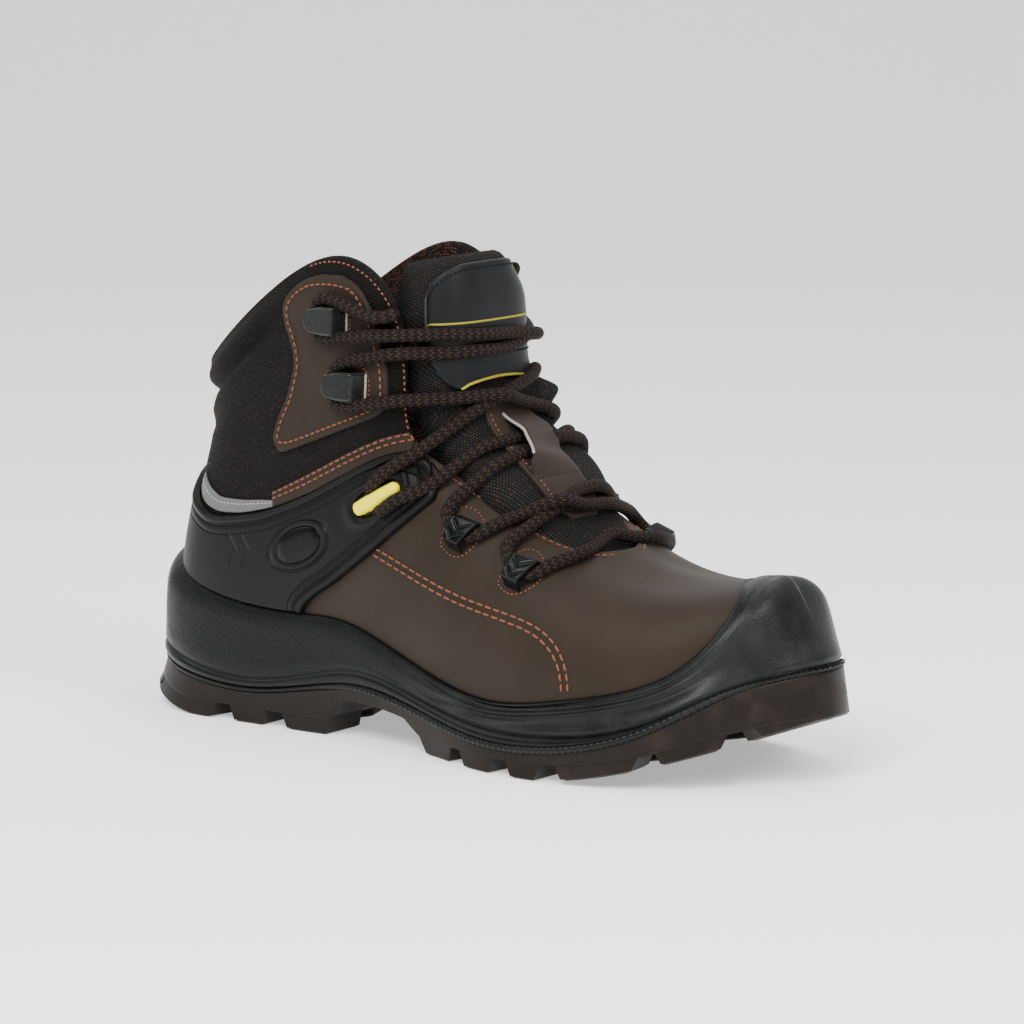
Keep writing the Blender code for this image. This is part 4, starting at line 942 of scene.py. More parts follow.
def inset_loop(x, height, inset, soften):
    """A closed line inside another: softened by a running mean, then moved along its inward normal."""
    line = np.stack([x, height], -1)
    window = np.abs(np.fft.fftfreq(len(line), 1.0 / len(line))) <= soften
    line = np.fft.ifft(np.fft.fft(line, axis=0) * np.fft.fft(window / window.sum())[:, None], axis=0).real
    along = np.roll(line, -1, 0) - np.roll(line, 1, 0)
    along /= np.linalg.norm(along, axis=-1, keepdims=True)
    line = line + inset * np.stack([-along[:, 1], along[:, 0]], -1)
    return np.concatenate([line, line[:1]])


level = np.linspace(STAY_EDGE[0][0], STAY_EDGE[-1][0], 90)
rear_side, front_side = table_edges(STAY_EDGE, level)
stay_loop = inset_loop(np.concatenate([front_side, rear_side[::-1]]), np.concatenate([level, level[::-1]]),
                       2.6, 3)
loop_station = station_at(stay_loop[:, 0], stay_loop[:, 1])
loop_share = share_at(loop_station, stay_loop[:, 1])
for side, side_name in SIDES:
    stay = side_panel(f"hook_stay_leather_{side_name}", side, stay_station, stay_height, STAY_WALL,
                      brown_leather, seat=OVERLAY_SEAT, edge=0.9)
    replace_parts(stay, f"hook_stay_{side_name}")
    on_side = loop_station if side > 0 else 2 * STATIONS - loop_station
    over = upper_point(on_side, loop_share, OVERLAY_SEAT + STAY_WALL)
    stitch_row(f"hook_stay_stitches_{side_name}", [(over, upper_normal(on_side, loop_share))], length=2.3,
               pitch=2.9)

STRIP_EDGE = [(76.0, 86.0, 92.5), (95.0, 93.5, 101.5), (115.0, 103.5, 111.5), (131.0, 111.0, 118.5),
              (141.0, 113.5, 121.0)]
along, up = np.meshgrid(edge_spacing(50), edge_spacing(18))
strip_x = STRIP_EDGE[-1][0] + (STRIP_EDGE[0][0] - STRIP_EDGE[-1][0]) * along
strip_low, strip_high = table_edges(STRIP_EDGE, strip_x)
strip_height = strip_low + (strip_high - strip_low) * up
strip_station = station_at(strip_x, strip_height)
for side, side_name in SIDES:
    strip = side_panel(f"ankle_strip_{side_name}", side, strip_station, strip_height, STRIP_WALL,
                       brown_leather, edge=0.7)
    seams = [upper_line(side, [(x, low + (high - low) * share) for x, low, high in STRIP_EDGE], STRIP_WALL)
             for share in (0.55, 0.86)]
    stitch_row(f"ankle_strip_stitches_{side_name}", seams, length=2.6, pitch=3.2)

# %% [markdown]
# ## Heel brace
# A moulded plastic brace wraps the heel and sends an arm up each quarter to the laces. Its
# relief is worked out as a height over the panel: a rim, a groove and a dashed line follow the
# border, and a frame, chevrons and short ridges are bumps at their own places.

# %% Brace
STABILISER_WALL = 2.4
GUIDE_AT, GUIDE_HALF, GUIDE_TILT = (130.8, 95.0), (11.2, 3.2), 28.0
BADGE_AT, BADGE_HALF, BADGE_TILT = (91.8, 73.9), (12.4, 6.3), 24.0
ARROWS_AT, RIDGES_AT = ((58.5, 68.4), (65.4, 68.6)), ((142.0, 104.5), (145.5, 106.5), (149.0, 108.5))
BRACE_ROWS, BRACE_STEPS = 84, 250
BRACE_LINES = [    # a stored distance, and the centre, half width and depth of a line pressed along it
    ("rim", 3.6, 0.5, -1.2), ("rim", 6.9, 0.35, -0.8), ("arrow", 0.0, 0.5, -0.9),
    ("badge", 1.3, 0.45, -0.9), ("badge", -1.5, 0.35, -0.6), ("guide", -2.2, 0.7, -1.1),
]


def oval_distance(x, height, centre, half, tilt, power):
    """Distance from an oval's edge, in millimetres: (length ratio - 1) times its half width."""
    c, s = np.cos(np.radians(tilt)), np.sin(np.radians(tilt))
    a, b = x - centre[0], height - centre[1]
    along, across = (c * a + s * b) / half[0], (c * b - s * a) / half[1]
    return ((np.abs(along) ** power + np.abs(across) ** power) ** (1.0 / power) - 1.0) * half[1]


def brace_finish():
    """The brace's own finish: fine grooves and a knurled line drawn by distances stored on the mesh."""
    material, tree, shader = new_material("brace plastic", 0.46)
    point = object_place(tree)
    stipple = use_group(tree, grain, point, Cell_mm=0.4, Fine_mm=0.2, Fine_share=0.5)
    wear = use_group(tree, smudge, point, Size_mm=14.0)
    mark = {label: add_node(tree, "ShaderNodeAttribute", attribute_name=label).outputs["Fac"]
            for label in ("rim", "run", "arrow", "badge", "guide")}
    knurl = span(tree, maths(tree, "SINE", maths(tree, "MULTIPLY", mark["run"], 5.2)), 0.15, 0.9)
    lines = maths(tree, "MULTIPLY", ridge_line(tree, mark["rim"], 5.1, 0.8), knurl)
    for label, centre, width, depth in BRACE_LINES:
        lines = maths(tree, "ADD", lines,
                      maths(tree, "MULTIPLY", ridge_line(tree, mark[label], centre, width), depth))
    height = maths(tree, "ADD", lines, maths(tree, "MULTIPLY", stipple["Height"], 0.02))
    tree.links.new(mix_tones(tree, span(tree, wear["Mask"], 0.0, 0.8), tone("0a0a0a"), tone("121312")),
                   shader.inputs["Base Color"])
    tree.links.new(span(tree, wear["Mask"], 0.43, 0.55), shader.inputs["Roughness"])
    add_bump(tree, shader, height, 1.0)
    return material


def ridge_line(tree, distance, centre, width):
    """A bell curve of a distance, as shader maths."""
    ratio = maths(tree, "DIVIDE", maths(tree, "SUBTRACT", distance, centre), width)
    return maths(tree, "EXPONENT", maths(tree, "MULTIPLY", maths(tree, "MULTIPLY", ratio, ratio), -1.0))


def bell(distance, width):
    """A smooth ridge: a bell curve of a distance."""
    return np.exp(-((distance / width) ** 2))


def segment_distance(x, height, start, end):
    """Distance from a straight stroke between two points."""
    run = np.subtract(end, start)
    share = np.clip(((x - start[0]) * run[0] + (height - start[1]) * run[1]) / (run @ run), 0.0, 1.0)
    return np.hypot(x - start[0] - share * run[0], height - start[1] - share * run[1])


arm_end = 4.85 + 0.55 * (1.0 - np.cos(np.pi / 2 * np.linspace(0.0, 1.0, 40)))
half_round = np.concatenate([arm_end, np.linspace(5.4, 11.0, BRACE_STEPS)[1:]])
brace_stations = np.concatenate([half_round, 2 * STATIONS - half_round[-2::-1]])
place_on = from_toe(brace_stations)
rand_top = rib(brace_stations, sole_size(brace_stations, "rand_share"))[:, 2]
low = np.maximum(curve_table(STABILISER_EDGE, 1, place_on), rand_top + 0.8)
high = curve_table(STABILISER_EDGE, 2, place_on)
brace_height = low + (high - low) * edge_spacing(BRACE_ROWS)[:, None]
brace_station = np.broadcast_to(brace_stations, brace_height.shape)
brace_share = share_at(brace_station, brace_height)
brace_base = upper_point(brace_station, brace_share)
free_edge = np.concatenate([brace_base[-1], brace_base[0, low > rand_top + 1.0], brace_base[:, 0],
                            brace_base[:, -1]])
rim = np.stack([np.linalg.norm(row[:, None] - free_edge[None], axis=-1).min(axis=1) for row in brace_base])
x = brace_base[..., 0]
arrow = np.full(x.shape, 9.0)
for cx, cz in ARROWS_AT:
    for end in ((cx - 3.6, cz + 5.5), (cx - 3.5, cz - 5.2)):
        arrow = np.minimum(arrow, segment_distance(x, brace_height, (cx, cz), end))
for cx, cz in RIDGES_AT:
    arrow = np.minimum(arrow, segment_distance(x, brace_height, (cx + 2.0, cz - 3.5), (cx - 2.0, cz + 3.5)))
guide_ring = oval_distance(x, brace_height, GUIDE_AT, (14.2, 6.3), GUIDE_TILT, 3.0)
badge_ring = oval_distance(x, brace_height, BADGE_AT, (14.2, 7.7), BADGE_TILT, 2.0)
relief = 0.5 * bell(rim - 1.7, 1.2) + 0.7 * bell(guide_ring, 1.2) + 0.5 * bell(badge_ring, 1.1)
marks = {"rim": rim, "run": arc_lengths(brace_base, 1) + brace_height, "arrow": arrow, "badge": badge_ring,
         "guide": guide_ring}
brace = panel("heel_brace", brace_base, upper_normal(brace_station, brace_share), STABILISER_WALL,
              brace_finish(), seat=OVERLAY_SEAT, edge=1.4, relief=relief, masks=marks)
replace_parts(brace, "heel_stabiliser")

# %% [markdown]
# ### Small parts on the brace
# A yellow bar turns the lace, an oval boss is left plain, and a grey reflective strip fills the
# dip above the brace. Bar and boss are grids pressed into ovals; the strip follows a table.

# %% Guides, badges and reflective crescents
BRACE_FACE = OVERLAY_SEAT + STABILISER_WALL
CRESCENT_EDGE = [    # station, lower and upper edge heights
    (7.68, 86.9, 89.4), (7.9, 84.7, 88.8), (8.25, 82.2, 87.6), (8.55, 81.6, 87.4), (8.8, 82.6, 89.2),
    (9.05, 85.0, 92.2), (9.28, 89.2, 95.2),
]


def local_patch(centre, along, across, tilt):
    """Stations and heights of a grid laid on the upper round a point, turned by tilt degrees."""
    c, s = np.cos(np.radians(tilt)), np.sin(np.radians(tilt))
    height = centre[1] + s * along + c * across
    return station_at(centre[0] + c * along - s * across, height), height


def disc(half, squareness):
    """A square grid pressed into an oval: x * sqrt(1 - k y^2 / 2) and the same for y."""
    u, v = np.meshgrid(np.linspace(1, -1, 41), np.linspace(-1, 1, 33))
    return half[0] * u * np.sqrt(1 - squareness * v**2 / 2), half[1] * v * np.sqrt(1 - squareness * u**2 / 2)


guide_grid = local_patch(GUIDE_AT, *disc(GUIDE_HALF, 0.55), GUIDE_TILT)
badge_grid = local_patch(BADGE_AT, *disc(BADGE_HALF, 1.0), BADGE_TILT)
crescent_station, up = np.meshgrid(7.68 + 1.6 * edge_spacing(52), edge_spacing(16))
crescent_low, crescent_high = table_edges(CRESCENT_EDGE, crescent_station)
crescent_height = crescent_low + (crescent_high - crescent_low) * up
for side, side_name in SIDES:
    guide = side_panel(f"lace_guide_bar_{side_name}", side, *guide_grid, 3.2, guide_yellow,
                       seat=BRACE_FACE - 0.2, edge=2.4)
    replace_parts(guide, f"lace_guide_{side_name}")
    badge = side_panel(f"badge_boss_{side_name}", side, *badge_grid, 1.0, badge_black,
                       seat=BRACE_FACE - 0.1, edge=5.0)
    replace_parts(badge, f"badge_{side_name}")
    crescent = side_panel(f"reflective_crescent_{side_name}", side, crescent_station, crescent_height, 0.7,
                          reflective, seat=0.2, edge=0.5)
    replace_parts(crescent, f"reflective_{side_name}")
    seam_station = np.linspace(7.74, 9.24, 60)
    seam_low, seam_high = table_edges(CRESCENT_EDGE, seam_station)
    seam_share = share_at(seam_station, seam_low + 0.66 * (seam_high - seam_low))
    seam_station = seam_station if side > 0 else 2 * STATIONS - seam_station
    seam = (upper_point(seam_station, seam_share, 0.9), upper_normal(seam_station, seam_share))
    stitch_row(f"crescent_stitches_{side_name}", [seam], pale_thread, length=1.3, pitch=2.0, radius=0.3)

# %% [markdown]
# ## Lace tabs
# The laces run under short moulded straps. The two upper straps on each side arch from front to
# rear, so the lace passes upwards beneath them; the two lower ones arch from top to bottom and
# narrow downwards, with chevrons pressed into their faces. Each is one arched panel.

# %% Tabs
TAB_WALL, TAB_RISE, GAP = 1.6, 5.4, 0.3
UPPER_TABS = [("lace_tab_lower", (112.5, 136.3)), ("lace_tab_upper", (103.0, 160.5))]
UPPER_TAB_HALF, TAB_STRAIGHT = (8.9, 5.5), 0.4
GHILLIES = [("ghillie_lower", (196.0, 72.6), 4.8, -18.0), ("ghillie_upper", (169.9, 85.0), 5.4, -20.0)]
GHILLIE_HALF, GHILLIE_TAPER, GHILLIE_SEAT = 5.6, 0.4, 0.45
STAY_FACE = OVERLAY_SEAT + STAY_WALL
SLITS = [    # stitched outlines round the two lower straps
    [(188.2, 69.6), (195.3, 66.3), (202.6, 70.7), (200.3, 77.4), (191.7, 80.8), (188.2, 69.6)],
    [(161.3, 81.2), (168.4, 77.5), (174.1, 80.6), (175.4, 89.2), (165.0, 94.6), (161.3, 81.2)],
]


def upper_tab(name, side, centre):
    """A leather loop, straight in front and round behind: a square grid pressed into half an oval."""
    u, v = np.meshgrid(np.linspace(1, -1, 49), np.linspace(-1, 1, 33))
    back = np.clip((TAB_STRAIGHT - u) / (1 + TAB_STRAIGHT), 0.0, 1.0)
    rounded = TAB_STRAIGHT - (1 + TAB_STRAIGHT) * back * np.sqrt(1 - v**2 / 2)
    along = UPPER_TAB_HALF[0] * np.where(back > 0, rounded, u)
    across = UPPER_TAB_HALF[1] * v * np.sqrt(1 - back**2 / 2)
    arch = TAB_RISE * smooth(1.0 - np.abs(u), 0.03, 0.3)
    return side_panel(name, side, *local_patch(centre, along, across, 0.0), TAB_WALL, tab_leather,
                      seat=GAP + STAY_FACE + arch, edge=0.9)


def lower_tab(name, side, centre, half_span, tilt):
    """A moulded strap that narrows downwards, with two chevrons pressed into its flat top."""
    u, v = np.meshgrid(np.linspace(1, -1, 45), np.linspace(-1, 1, 45))
    narrow = 1.0 - GHILLIE_TAPER * (1.0 - v) / 2
    arch = TAB_RISE * smooth(1.0 - np.abs(v), 0.05, 0.42)
    inside = 1 - smooth(np.abs(u), 0.62, 0.8)
    relief = sum(-0.6 * inside * bell((v - level - 0.5 * np.abs(u)) * half_span, 0.4)
                 for level in (-0.5, 0.1))
    patch = local_patch(centre, GHILLIE_HALF * u * narrow, half_span * v, tilt)
    return side_panel(name, side, *patch, TAB_WALL, tab_plastic, seat=GAP + GHILLIE_SEAT + arch, edge=0.9,
                      relief=relief)


for side, side_name in SIDES:
    for name, (x, height) in UPPER_TABS:
        tab = upper_tab(f"{name}_strap_{side_name}", side, (x, height))
        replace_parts(tab, f"{name}_{side_name}")
        wide, high = UPPER_TAB_HALF[0] + 2.2, UPPER_TAB_HALF[1] + 2.0
        ring = [(x + wide, height), (x + 8.0, height + high), (x - 4.0, height + high), (x - wide, height),
                (x - 4.0, height - high), (x + 8.0, height - high), (x + wide, height)]
        stitch_row(f"{name}_stitches_{side_name}", [upper_line(side, ring, STAY_FACE)], length=1.2,
                   pitch=1.8, radius=0.3)
        front = x + UPPER_TAB_HALF[0] + 0.5
        cut_edge, _ = upper_line(side, [(front, height + UPPER_TAB_HALF[1] * v) for v in (-1.0, 0.0, 1.0)],
                                 STAY_FACE + 0.1, 24)
        tube_piece(f"{name}_cut_edge_{side_name}", [cut_edge], 0.5, raw_edge, 6)
    for (name, centre, half_span, tilt), slit in zip(GHILLIES, SLITS):
        tab = lower_tab(f"{name}_strap_{side_name}", side, centre, half_span, tilt)
        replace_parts(tab, f"{name}_{side_name}")
        stitch_row(f"{name}_stitches_{side_name}", [upper_line(side, slit)], length=1.2, pitch=1.7,
                   radius=0.3)

# %% [markdown]
# ## Tongue
# The tongue is a padded tablet of mesh that tucks under the vamp and curves round the shin. Its
# section is half a squared oval carried along a spline. A leather label and a leather strip
# with a lace loop are panels on the tongue's own surface.

# %% Tongue, label and strip
TONGUE_ROWS = [    # x, z, half width, depth and thickness of each section
    (222.0, 64.0, 17.0, 8.0, 3.0), (206.5, 77.5, 22.0, 13.0, 4.0), (190.0, 91.0, 26.0, 16.0, 5.0),
    (173.5, 106.5, 27.5, 18.0, 5.5), (161.5, 121.0, 27.5, 21.0, 6.0), (155.0, 138.0, 28.0, 26.0, 7.0),
    (153.5, 155.0, 28.3, 29.0, 8.0), (152.5, 171.0, 27.8, 29.0, 8.0), (149.5, 187.0, 25.0, 25.0, 6.5),
]
TONGUE_LINE = line_spline(TONGUE_ROWS)
TONGUE_SQUARE, TONGUE_SWEEP = 0.6, 86.0
TONGUE_FOLDS = [    # height, angle, rise, half height and half angle of each soft bulge or hollow
    (101.0, 0.0, 4.0, 14.0, 200.0), (108.0, -50.0, 4.0, 16.0, 22.0), (131.5, -46.0, 9.0, 6.0, 16.0),
    (184.0, -52.0, -6.0, 8.0, 26.0), (126.0, 52.0, -1.6, 5.0, 14.0), (112.0, 58.0, 1.5, 7.0, 14.0),
]
LABEL_EDGE = [    # angle from the middle, lower and upper edge heights
    (0.0, 139.4, 183.4), (24.0, 137.9, 183.2), (35.0, 136.6, 182.4), (48.0, 139.4, 180.8),
    (56.0, 143.0, 179.0), (62.0, 147.5, 176.6), (66.0, 156.0, 171.0),
]
LABEL_WALL, LABEL_LINE = 1.2, 160.8
KEEPER_HEIGHTS, KEEPER_SWEEP, KEEPER_WALL, KEEPER_SHIFT = (88.0, 131.0), 14.0, 1.5, 2.0
KEEPER_RISE = 6.0
SLIT_EDGE = [(100.0, 13.4), (104.0, 12.0), (106.5, 9.6), (108.5, 8.2), (112.0, 6.7), (117.75, 5.0),
             (125.5, 5.2), (131.0, 9.0)]


def tongue_swell(height, degrees):
    """Padding of the tongue: a sum of bell-shaped bulges and hollows, placed one by one."""
    return sum(r * np.exp(-(((height - z) / high) ** 2) - ((degrees - a) / wide) ** 2)
               for z, a, r, high, wide in TONGUE_FOLDS)


def tongue_point(row, angle, out=0.0):
    """A point of the tongue: cos and sin of the angle to the power 0.6 give its flat-fronted oval."""
    row, angle, out = np.broadcast_arrays(np.asarray(row, float), np.radians(angle), np.asarray(out, float))
    size = line_value(TONGUE_LINE, row)
    out = out + tongue_swell(size[..., 1], np.degrees(angle))
    ahead = line_value(TONGUE_LINE, row + 1e-3) - line_value(TONGUE_LINE, row - 1e-3)
    run = np.hypot(ahead[..., 0], ahead[..., 1])
    back_x, back_z = -ahead[..., 1] / run, ahead[..., 0] / run
    front = np.cos(angle) ** TONGUE_SQUARE
    flank = np.sign(angle) * np.abs(np.sin(angle)) ** TONGUE_SQUARE
    sink = size[..., 3] * (1.0 - front) - out * front
    return np.stack([size[..., 0] + back_x * sink, (size[..., 2] + out) * flank,
                     size[..., 1] + back_z * sink], -1)


def tongue_row(height):
    """The tongue's row at which its middle reaches a height."""
    rows = np.linspace(0.0, len(TONGUE_ROWS) - 1.0, 161)
    return np.interp(height, line_value(TONGUE_LINE, rows)[:, 1], rows)


def even_angles(count, sweep):
    """Angles whose points are evenly spread across the squared oval: s to the power 1 / 0.6 is the sine."""
    s = np.linspace(-1.0, 1.0, count) * np.sin(np.radians(sweep)) ** TONGUE_SQUARE
    return np.degrees(np.arcsin(np.sign(s) * np.abs(s) ** (1 / TONGUE_SQUARE)))


def tongue_panel(name, height, angle, thickness, material, out=0.0, edge=0.8, relief=0.0):
    """A panel on the tongue's front; its normal is the direction in which the tongue grows."""
    row = tongue_row(height)
    base = tongue_point(row, angle)
    normal = tongue_point(row, angle, 1.0) - base
    return panel(name, base, normal, thickness, material, seat=np.asarray(out, float), edge=edge,
                 relief=relief)


angles = even_angles(80, TONGUE_SWEEP)
tongue_rows = np.linspace(0.0, len(TONGUE_ROWS) - 1.0, 110)
thickness = line_value(TONGUE_LINE, tongue_rows)[:, 4:5]
top_round = np.sqrt(np.clip((len(TONGUE_ROWS) - 1.0 - tongue_rows) / 0.22, 0.0, 1.0))[:, None]
front = tongue_point(tongue_rows[:, None], angles[None], -0.5 * thickness * (1 - top_round))
back = tongue_point(tongue_rows[:, None], angles[None, ::-1], -thickness + 0.5 * thickness * (1 - top_round))
section = np.concatenate([front, back], axis=1)
tongue = skin("tongue_pad", section, tongue_mesh, wrap_columns=True)
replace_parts(tongue, "tongue")


def tongue_line(name, height, angle, out, radius, finish):
    """A thin cord laid on the tongue, for piping and raw leather edges."""
    row = tongue_row(height)
    return tube_piece(name, [tongue_point(row, angle, out)], radius, finish, 8)


def tongue_seam(height, angle, out):
    """A line on the tongue's front with its normals, for stitches."""
    row = tongue_row(height)
    point = tongue_point(row, angle, out)
    return point, tongue_point(row, angle, out + 1.0) - point


label_angle, v = np.meshgrid(even_angles(71, 66.0), edge_spacing(46))
label_low, label_high = table_edges(LABEL_EDGE, np.abs(label_angle))
label = tongue_panel("tongue_label_patch", label_low + (label_high - label_low) * v, label_angle,
                     LABEL_WALL, label_leather, out=0.4, edge=1.0)
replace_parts(label, "tongue_label")
piping = np.linspace(-35.0, 35.0, 60)
tongue_line("label_piping", curve_table(LABEL_EDGE, 1, np.abs(piping)) + 0.3, piping, 1.5, 0.6,
                    dull_yellow)
line_angle, v = np.meshgrid(even_angles(60, 63.0), np.linspace(0.0, 1.0, 5))
line = tongue_panel("label_line", LABEL_LINE + 0.9 * v, line_angle, 0.12, dull_yellow, out=1.58, edge=0.2)
seam_angle = even_angles(90, 62.0)
top_seam = tongue_seam(curve_table(LABEL_EDGE, 2, np.abs(seam_angle) * 1.04) - 2.4, seam_angle, 1.6)
side_seams = [tongue_seam(np.linspace(149.0, 174.0, 40), np.full(40, side * 62.0), 1.6) for side in (1, -1)]
low_seam = tongue_seam(np.full(60, 148.2), even_angles(60, 58.0), 1.6)
stitch_row("label_stitches", [top_seam, low_seam] + side_seams, black_thread, length=1.4, pitch=2.0,
           radius=0.32)


def strip_angle(reach):
    """The angle on the tongue that lies a given distance out from its middle line."""
    ratio = np.clip(np.asarray(reach, float) / STRIP_GIRTH, -1.0, 1.0)
    return np.degrees(np.arcsin(np.sign(ratio) * np.abs(ratio) ** (1 / TONGUE_SQUARE)))


def slit_lift(height):
    """How far the strip's slit edge stands up at a height, from 0 to 1."""
    return smooth(height, 100.0, 107.5) * (1 - smooth(height, 115.0, 128.0))


STRIP_GIRTH = 27.2
half_strip = STRIP_GIRTH * np.sin(np.radians(KEEPER_SWEEP)) ** TONGUE_SQUARE
height, across = np.meshgrid(KEEPER_HEIGHTS[0] + (KEEPER_HEIGHTS[1] - KEEPER_HEIGHTS[0]) * edge_spacing(70),
                             np.linspace(-1, 1, 31), indexing="ij")
reach = half_strip * across * (0.7 + 0.3 * smooth(height, 88.0, 92.0))
strip = tongue_panel("tongue_strip_leather", height, strip_angle(reach + KEEPER_SHIFT), KEEPER_WALL,
                     brown_leather, out=0.4, edge=0.8)
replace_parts(strip, "tongue_strip")
height, share = np.meshgrid(np.linspace(100.0, 131.0, 70), np.linspace(0.0, 1.0, 31), indexing="ij")
slit = curve_table(SLIT_EDGE, 1, height)
far_lift = 0.6 * smooth(height, 108.0, 114.0) * (1 - smooth(height, 117.0, 127.0))
rise = 0.4 + KEEPER_RISE * (far_lift + (slit_lift(height) - far_lift) * share)
bridge = tongue_panel("tongue_strip_bridge", height,
                      strip_angle(KEEPER_SHIFT - half_strip + (half_strip + slit - KEEPER_SHIFT) * share),
                      KEEPER_WALL, brown_leather, out=rise + 0.1, edge=0.8)
edge_height = np.linspace(106.5, 126.0, 60)
edge_rise = 0.4 + KEEPER_RISE * slit_lift(edge_height) + KEEPER_WALL * 0.6
tongue_line("strip_raw_edge", edge_height, strip_angle(curve_table(SLIT_EDGE, 1, edge_height)),
                    edge_rise, 0.6, raw_edge)
strip_side = np.full(60, strip_angle(half_strip - 2.4 + KEEPER_SHIFT))
side_seam = tongue_seam(np.linspace(90.0, 129.0, 60), strip_side, 1.9)
end_seam = tongue_seam(np.full(20, 90.0),
                       strip_angle(np.linspace(-0.55, 0.55, 20) * half_strip + KEEPER_SHIFT), 1.9)
stitch_row("strip_stitches", [side_seam, end_seam], length=1.5, pitch=2.2, radius=0.32)

# %% [markdown]
# ## Lace
# The lace is one round braid that zigzags up the boot. It runs under each strap, over the edge
# of the throat and across the tongue. The way is a smooth curve through a few points: where it
# leaves each strap, where it rounds the throat's edge and the tongue, and its middle. Frames
# carried along the curve without twisting keep the braid even.

# %% Lace runs
LACE_DIAMETER, LACE_CLEAR, LACE_STEP, LACE_SOFTEN = 5.0, 0.25, 1.0, 8
LACE_FLANKS = (45.0, 14.0, 0.0)    # angles on the tongue that a lace passes on its way to the middle
LACE_SEATS = [    # what lies under each crossing at those angles
    (-0.3, 1.0, 1.5), (-0.6, -0.6, -0.6), (-0.4, 0.8, 1.2), (-0.6, 0.6, 1.2),
]
LACE_LIFT = [0.85, 0.3, 0.8, 0.7]    # how far a crossing lace rides up, as a share of its diameter
SLOT_DEPTH = (7.0, 2.6)
LACE_ROUTES = [    # each strap from the toe up: hidden middle, then the ways out of its upper and outer ends
    ((194.6, 74.0), [(189.4, 77.6), (187.4, 81.2), (188.6, 85.0)],
     [(200.0, 71.8), (204.0, 74.6), (208.2, 77.2)]),
    ((168.4, 86.4), [(163.2, 89.6), (162.6, 94.6), (164.8, 99.0)],
     [(173.4, 83.8), (178.0, 86.2), (183.0, 89.6)]),
    ((129.3, 94.0), [(127.3, 97.6), (130.8, 101.6), (136.5, 106.6), (144.0, 111.8)],
     [(133.4, 90.4), (141.8, 95.2), (150.1, 99.3), (154.7, 103.0)]),
    ((109.2, 136.3), [(108.6, 142.0), (112.4, 145.0), (118.9, 146.8), (127.9, 148.6), (135.8, 150.2)],
     [(108.6, 131.0), (112.0, 129.2), (119.5, 129.4), (130.7, 131.5), (137.0, 132.7)]),
    ((99.9, 160.5), [(99.2, 166.0), (102.6, 169.0), (108.8, 168.4), (118.3, 165.6), (125.4, 163.4),
                     (131.6, 163.8)],
     [(99.4, 155.4), (103.2, 153.6), (112.0, 154.6), (124.8, 156.2), (135.3, 157.1)]),
]
LACE_MIDDLE = [    # heights of the lower and the upper strap's strand
    (94.0, 89.2), (110.0, 115.0), (133.5, 129.8), (150.5, 156.0),
]
BAR_MIDDLE = 80.5
LACE_CORE = np.array([120.0, 0.0, 80.0])


def curve_through(points, samples):
    """Catmull-Rom curve through points or rings: each stretch is a cubic with slopes from its neighbours."""
    p = np.array(points, float)
    p = np.concatenate([2 * p[:1] - p[1:2], p, 2 * p[-1:] - p[-2:-1]])
    t = np.linspace(0.0, len(points) - 1.0, samples)
    i = np.minimum(np.floor(t).astype(int), len(points) - 2)
    f = (t - i).reshape((-1,) + (1,) * (p.ndim - 1))
    a, b, c, d = p[i], p[i + 1], p[i + 2], p[i + 3]
    return 0.5 * (2 * b + (c - a) * f + (2 * a - 5 * b + 4 * c - d) * f**2 + (3 * b - a - 3 * c + d) * f**3)


def nearest(candidates, start, end):
    """Which candidate lies closest to the straight line between two points."""
    line = end - start
    share = np.clip(((candidates - start) @ line) / (line @ line), 0.05, 0.95)
    return int(np.argmin(np.linalg.norm(candidates - (start + share[:, None] * line), axis=-1)))


def lace_seat(strap, x, height):
    """What lies between the upper and the lace at a place: brace, stay or nothing."""
    if strap == 2:
        return BRACE_FACE * (1 - smooth(x, 141.0, 152.0))
    return 0.3 + (STAY_FACE - 0.3) * (1 - smooth(x, 124.0, 132.0)) if strap > 2 else GAP


def on_upper(side, strap, spots, extra=0.0):
    """Points of a lace that lies on the upper at several (x, height) spots."""
    lift = LACE_DIAMETER / 2 + LACE_CLEAR + extra
    points = [at_height(station_at(x, height), height, lift + lace_seat(strap, x, height))
              for x, height in spots]
    return [p * np.array([1.0, side, 1.0]) for p in points]


def half_run(side, strap, end, middle_height, seats):
    """Points from under a strap, out of its upper (0) or outer (1) end, to the tongue's middle."""
    hidden, *ways = LACE_ROUTES[strap]
    sunk = SLOT_DEPTH if strap == 2 else (-0.3, 0.0)
    points = on_upper(side, strap, [hidden], -sunk[0]) + on_upper(side, strap, ways[end][:1], -sunk[1])
    points += on_upper(side, strap, ways[end][1:])
    lift = LACE_DIAMETER / 2 + LACE_CLEAR
    middle = tongue_point(tongue_row(middle_height), 0.0, lift + seats[-1])
    for angle, seat in zip(LACE_FLANKS[:-1], seats):
        flanks = tongue_point(tongue_row(np.linspace(76.0, 178.0, 120)), np.full(120, side * angle),
                              lift + seat)
        flank = flanks[nearest(flanks, points[-1], middle)]
        if np.linalg.norm(flank - points[-1]) > 2 * LACE_DIAMETER:
            points.append(flank)
    return points, middle


def lace_path(points):
    """An even curve through points: walked in equal steps, then each point averaged with its neighbours."""
    rough = curve_through(points, 1200)
    walked = arc_lengths(rough[None], 1)[0]
    steps = np.linspace(0.0, walked[-1], int(walked[-1] / LACE_STEP))
    even = np.stack([np.interp(steps, walked, rough[:, k]) for k in range(3)], -1)
    for _ in range(LACE_SOFTEN):
        even[1:-1] = (even[:-2] + 2 * even[1:-1] + even[2:]) / 4
    return even


def lace_run(strap, end, far_strap, far_end, middle_height, seats):
    """A lace from a strap on the outer side to one on the inner side."""
    near, middle = half_run(1, strap, end, middle_height, seats)
    far, _ = half_run(-1, far_strap, far_end, middle_height, seats)
    return lace_path(near + [middle] + far[::-1])


